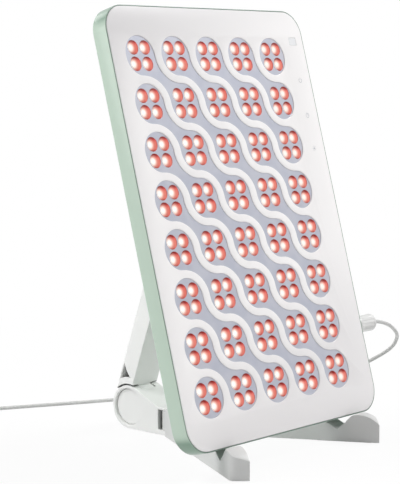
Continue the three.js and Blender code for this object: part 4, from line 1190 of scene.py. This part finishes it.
# %% [markdown]
# ## Dressing the solids
# The stand and the back keep their solids' shapes, but real mouldings have small rounded edges
# that catch the light. A Bevel node in a material could fake them, but real edges show from any
# side. So `dressed` copies a node, joins its loose triangles, clears the flat faces of their extra
# edges and rounds what is sharp. The borders of large flat faces are marked sharp afterwards, so
# that smooth shading of the small rounded edges never spreads over a flat face.

# %% The dressing helper
FLAT_ANGLE = math.radians(0.5)
SHARP_DEG = 33
FLAT_AREA = 300


def keep_flats(mesh):
    """Marks the borders of large flat faces as sharp."""
    shape = bmesh.new()
    shape.from_mesh(mesh)
    for edge in shape.edges:
        large = any(face.calc_area() > FLAT_AREA * MM ** 2 for face in edge.link_faces)
        if large and edge.calc_face_angle(0) > FLAT_ANGLE:
            edge.smooth = False
    shape.to_mesh(mesh)
    shape.free()


def dressed(node, body, slot, finish, edge_mm, steps=2, outer_mm=0):
    """Rounds the sharp edges of a node, or with outer_mm only those that far out to either side."""
    shape = bmesh.new()
    shape.from_mesh(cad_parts[node].data)
    bmesh.ops.remove_doubles(shape, verts=shape.verts, dist=WELD * MM)
    bmesh.ops.dissolve_limit(
        shape, angle_limit=FLAT_ANGLE, verts=shape.verts, edges=shape.edges)
    weights = shape.edges.layers.float.new("bevel_weight_edge")
    for edge in shape.edges:
        outer = all(abs(abs(v.co.x) - outer_mm * MM) < SAME_PLACE * MM for v in edge.verts)
        sharp = edge.calc_face_angle(0) > math.radians(SHARP_DEG)
        edge[weights] = 1.0 if sharp and (outer or not outer_mm) else 0.0
    piece = in_scene(node + "_skin", written(node + "_skin", shape))
    rounded = piece.modifiers.new("edge", "BEVEL")
    rounded.width = edge_mm * MM
    rounded.segments = steps
    rounded.limit_method = "WEIGHT"
    rounded.use_clamp_overlap = not outer_mm
    final = finished_mesh(piece)
    piece.modifiers.clear()
    piece.data = final
    print(piece.name, len(final.polygons), "faces")
    seated(piece, body, slot, finish, SHARP_DEG, node)
    keep_flats(piece.data)


# %% [markdown]
# The stand is white throughout, and the legs are painted a little greyer than the rest, as the
# shade that falls on them. The two legs are alike, and the hub between them holds the round end
# caps of the hinge. The real gaps round the hub are deep and narrow, and their shade looks nearly
# black. So a dark seam is painted as shade where the strut's foot meets the hub, and the leg's
# tongue is painted dark as the shade inside the slot.

# %% The stand's finishes
LEG_SHADED_WHITE = 0xCFD0CF
SLOT_SHADE = 0x0D0E0D
SEAM_SHADE = 0x3A3C3B
TONGUE_FROM_Y = (54.5, 56)
BASE_AXIS = (100.5, 22.3)
SEAM_REACH = (23.4, 22.8)
SEAM_ASIDE = (9.5, 11)


def in_metres(pair):
    """Two places in millimetres as the metres that Object coordinates are in."""
    return [value * MM for value in pair]


def leg_finish():
    """Stand white painted greyer as shade on the legs, with the hinge tongue painted dark as shade
    where the hub's slot shows it.
    """
    finish = Finish("leg_white_shaded")
    # Painted shade: the leg is greyer than the stand white, and its tongue near black inside the
    # slot.
    tongue_shade = finish.part(finish.place(), 1).between(*in_metres(TONGUE_FROM_Y))
    return grained(
        finish, STAND_ROUGHNESS, STAND_GRAIN_MM,
        Base_Color=finish.blend(tongue_shade, paint(LEG_SHADED_WHITE), paint(SLOT_SHADE)))


def strut_finish():
    """Stand white, with a dark seam painted as shade where the foot meets the hub's round barrel.
    """
    finish = Finish("strut_white")
    across = finish.part(finish.place(), 0)
    back = finish.part(finish.place(), 1) - BASE_AXIS[0] * MM
    up = finish.part(finish.place(), 2) - BASE_AXIS[1] * MM
    # Painted shade: a dark seam stands for the shaded gap round the hub's barrel.
    near = ((back * back + up * up) ** 0.5).between(*in_metres(SEAM_REACH))
    aside = ((across * across) ** 0.5).between(*in_metres(SEAM_ASIDE))
    return grained(
        finish, STAND_ROUGHNESS, STAND_GRAIN_MM,
        Base_Color=finish.blend(near * aside, paint(STAND_WHITE), paint(SEAM_SHADE)))


leg_white_shaded = leg_finish()
strut_white = strut_finish()
print("stand finishes", leg_white_shaded.name, strut_white.name)

# %% [markdown]
# Of the strut and the hub only the edges of the outer faces are rounded, 17.5 mm to either side.
# The knuckles between them are close fits and keep their edges.

# %% The stand
HUB_HALF_WIDTH = 17.5

dressed("strut", "strut", "stand_white", strut_white, edge_mm=0.7, outer_mm=HUB_HALF_WIDTH)
dressed("hub", "base", "stand_white", stand_white, edge_mm=0.7, steps=3, outer_mm=HUB_HALF_WIDTH)
for side in ("left", "right"):
    dressed(f"leg_{side}", f"{side}_leg", "stand_white", leg_white_shaded, edge_mm=0.6)
    dressed(f"end_cap_{side}", "base", "stand_white", stand_white, edge_mm=0.5, steps=3)
    dressed(f"foot_pad_{side}", f"{side}_leg", "pad_rubber", pad_rubber, edge_mm=0.3)
dressed("hub_foot_pad", "base", "pad_rubber", pad_rubber, edge_mm=0.3)
dressed("hinge_bracket", "panel", "stand_white", stand_white, edge_mm=0.4)

# %% [markdown]
# The rear cover is sage green as the side is, and keeps its vents. The adapter is a plain white
# box with a short neck, where its lead goes in. Their solids have these shapes already, so neither
# is modelled again and a small rounding is enough. The cover's is a single step, because the slots
# of its vents have many edges.

# %% The rear cover and the adapter
dressed("rear_cover", "panel", "sage_shell", sage_plastic, edge_mm=0.2, steps=1)
dressed("adapter_body", "panel", "supply_white", supply_white, edge_mm=0.5)
dressed("adapter_neck", "panel", "supply_white", supply_white, edge_mm=0.3)

# %% [markdown]
# Pieces that only glint through a gap or a vent keep their solids and get their finish. So do the
# display's window, the plug's tip and the adapter's blades, whose shapes are right as they are.

# %% Finishes on the solids
FINISHED_SOLIDS = (
    (board_white, ("led_board",)),
    (board_green, ("touch_board", "driver_board")),
    (fin_aluminium, ("heat_spreader",)),
    (socket_black, ("dc_socket", "inner_lead")),
    (display_pale, ("display_window",)),
    (pin_steel, (
        "top_hinge_pin", "top_washer_left", "top_washer_right", "hinge_pin",
        "friction_washer_left", "friction_washer_right", "leg_pin_left", "leg_pin_right",
        "plug_tip", "adapter_blade_left", "adapter_blade_right")))

for finish, names in FINISHED_SOLIDS:
    for name in names:
        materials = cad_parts[name].data.materials
        materials.clear()
        materials.append(finish)
    print(finish.name, "on", *names)

# %% [markdown]
# ## The lead joins in
# The cord rides on the panel, as its plug does, and stands for two solids, the free lead and the
# coil. Such a lead is sold in a set length, and the drawn one differs from it by a little.

cord_curve.materials.append(cord_grey)
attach(lead, "panel")
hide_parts("supply_lead", "lead_coil")

# %% [markdown]
# ## The studio
# The picture is plain: a pale ground that keeps a trace of shadow, under an even sky. Both light
# the lamp gently, and only the camera, reflections and glass see them as plain white.

# %% The ground and the sky
GROUND_SIZE = 8
GROUND_PALE = 0.8
GROUND_ROUGHNESS = 0.9
GROUND_GLOW_SHARE = 0.92
GROUND_FADE = (0.3, 0.8)
SKY_LIGHT = 0.3


def seen_by(finish):
    """1 for the camera, in reflections and through glass, and 0 for light."""
    camera_ray, glossy_ray, clear_ray = (
        finish.node("ShaderNodeLightPath", {}, {}, kind)
        for kind in ("Is Camera Ray", "Is Glossy Ray", "Is Transmission Ray"))
    return (camera_ray + glossy_ray + clear_ray).clamped()


def ground_surface():
    """Pale ground near the lamp, and plain white to the camera where it is far off."""
    finish = Finish("ground_white")
    finish.shine(Base_Color=(GROUND_PALE, GROUND_PALE, GROUND_PALE, 1), Roughness=GROUND_ROUGHNESS)
    far_off = finish.node(
        "ShaderNodeVectorMath", {"operation": "LENGTH"}, {0: finish.place()}, 1)
    white_share = far_off.between(*GROUND_FADE) * (1 - GROUND_GLOW_SHARE) + GROUND_GLOW_SHARE
    surface = finish.node("ShaderNodeMixShader", {}, {
        0: seen_by(finish) * white_share,
        1: Shade(finish, finish.shader.outputs[0]),
        2: finish.node("ShaderNodeEmission", {}, {})})
    finish.tree.links.new(
        surface.socket, finish.tree.nodes["Material Output"].inputs["Surface"])
    return finish.material


half = GROUND_SIZE / 2
ground_mesh = bpy.data.meshes.new("ground")
ground_mesh.from_pydata(
    [(-half, -half, 0), (half, -half, 0), (half, half, 0), (-half, half, 0)], [], [(0, 1, 2, 3)])
ground_mesh.materials.append(ground_surface())
ground = in_scene("ground", ground_mesh)

sky = Finish("sky", bpy.data.worlds.new("sky"), "Background")
scene.world = sky.shine(
    Color=(1, 1, 1, 1),
    Strength=seen_by(sky) * (1 - SKY_LIGHT) + SKY_LIGHT)
print("ground", GROUND_SIZE, "m wide, sky light", SKY_LIGHT)

# %% [markdown]
# Four round soft lights do the rest. The strongest stands high in front on the right, the next
# high behind on the left, and two faint ones low on the left and straight behind. Small lights
# would throw hard shadows, so each is a disk more than a metre wide. They are kept weak, so that
# the white plastic keeps its shading.

# %% The lights
LIGHT_TARGET = Vector((0, 0, 0.2))
LIGHT_SIZE = 1.2
LIGHTS = {
    "right_high": ((1.6, -1.0, 2.2), 55),
    "behind_left": ((-1.3, 0.9, 2.1), 30),
    "left_low": ((-2.0, 1.2, 0.8), 10),
    "behind": ((0, 2.2, 1.5), 8),
}

for name, (place, watts) in LIGHTS.items():
    disk = bpy.data.lights.new(name, "AREA")
    disk.shape = "DISK"
    disk.size = LIGHT_SIZE
    disk.energy = watts
    light = in_scene(name, disk)
    light.location = place
    light.rotation_euler = aimed(LIGHT_TARGET - Vector(place))
    print(name, watts, "W")
scene.view_settings.view_transform = "Standard"
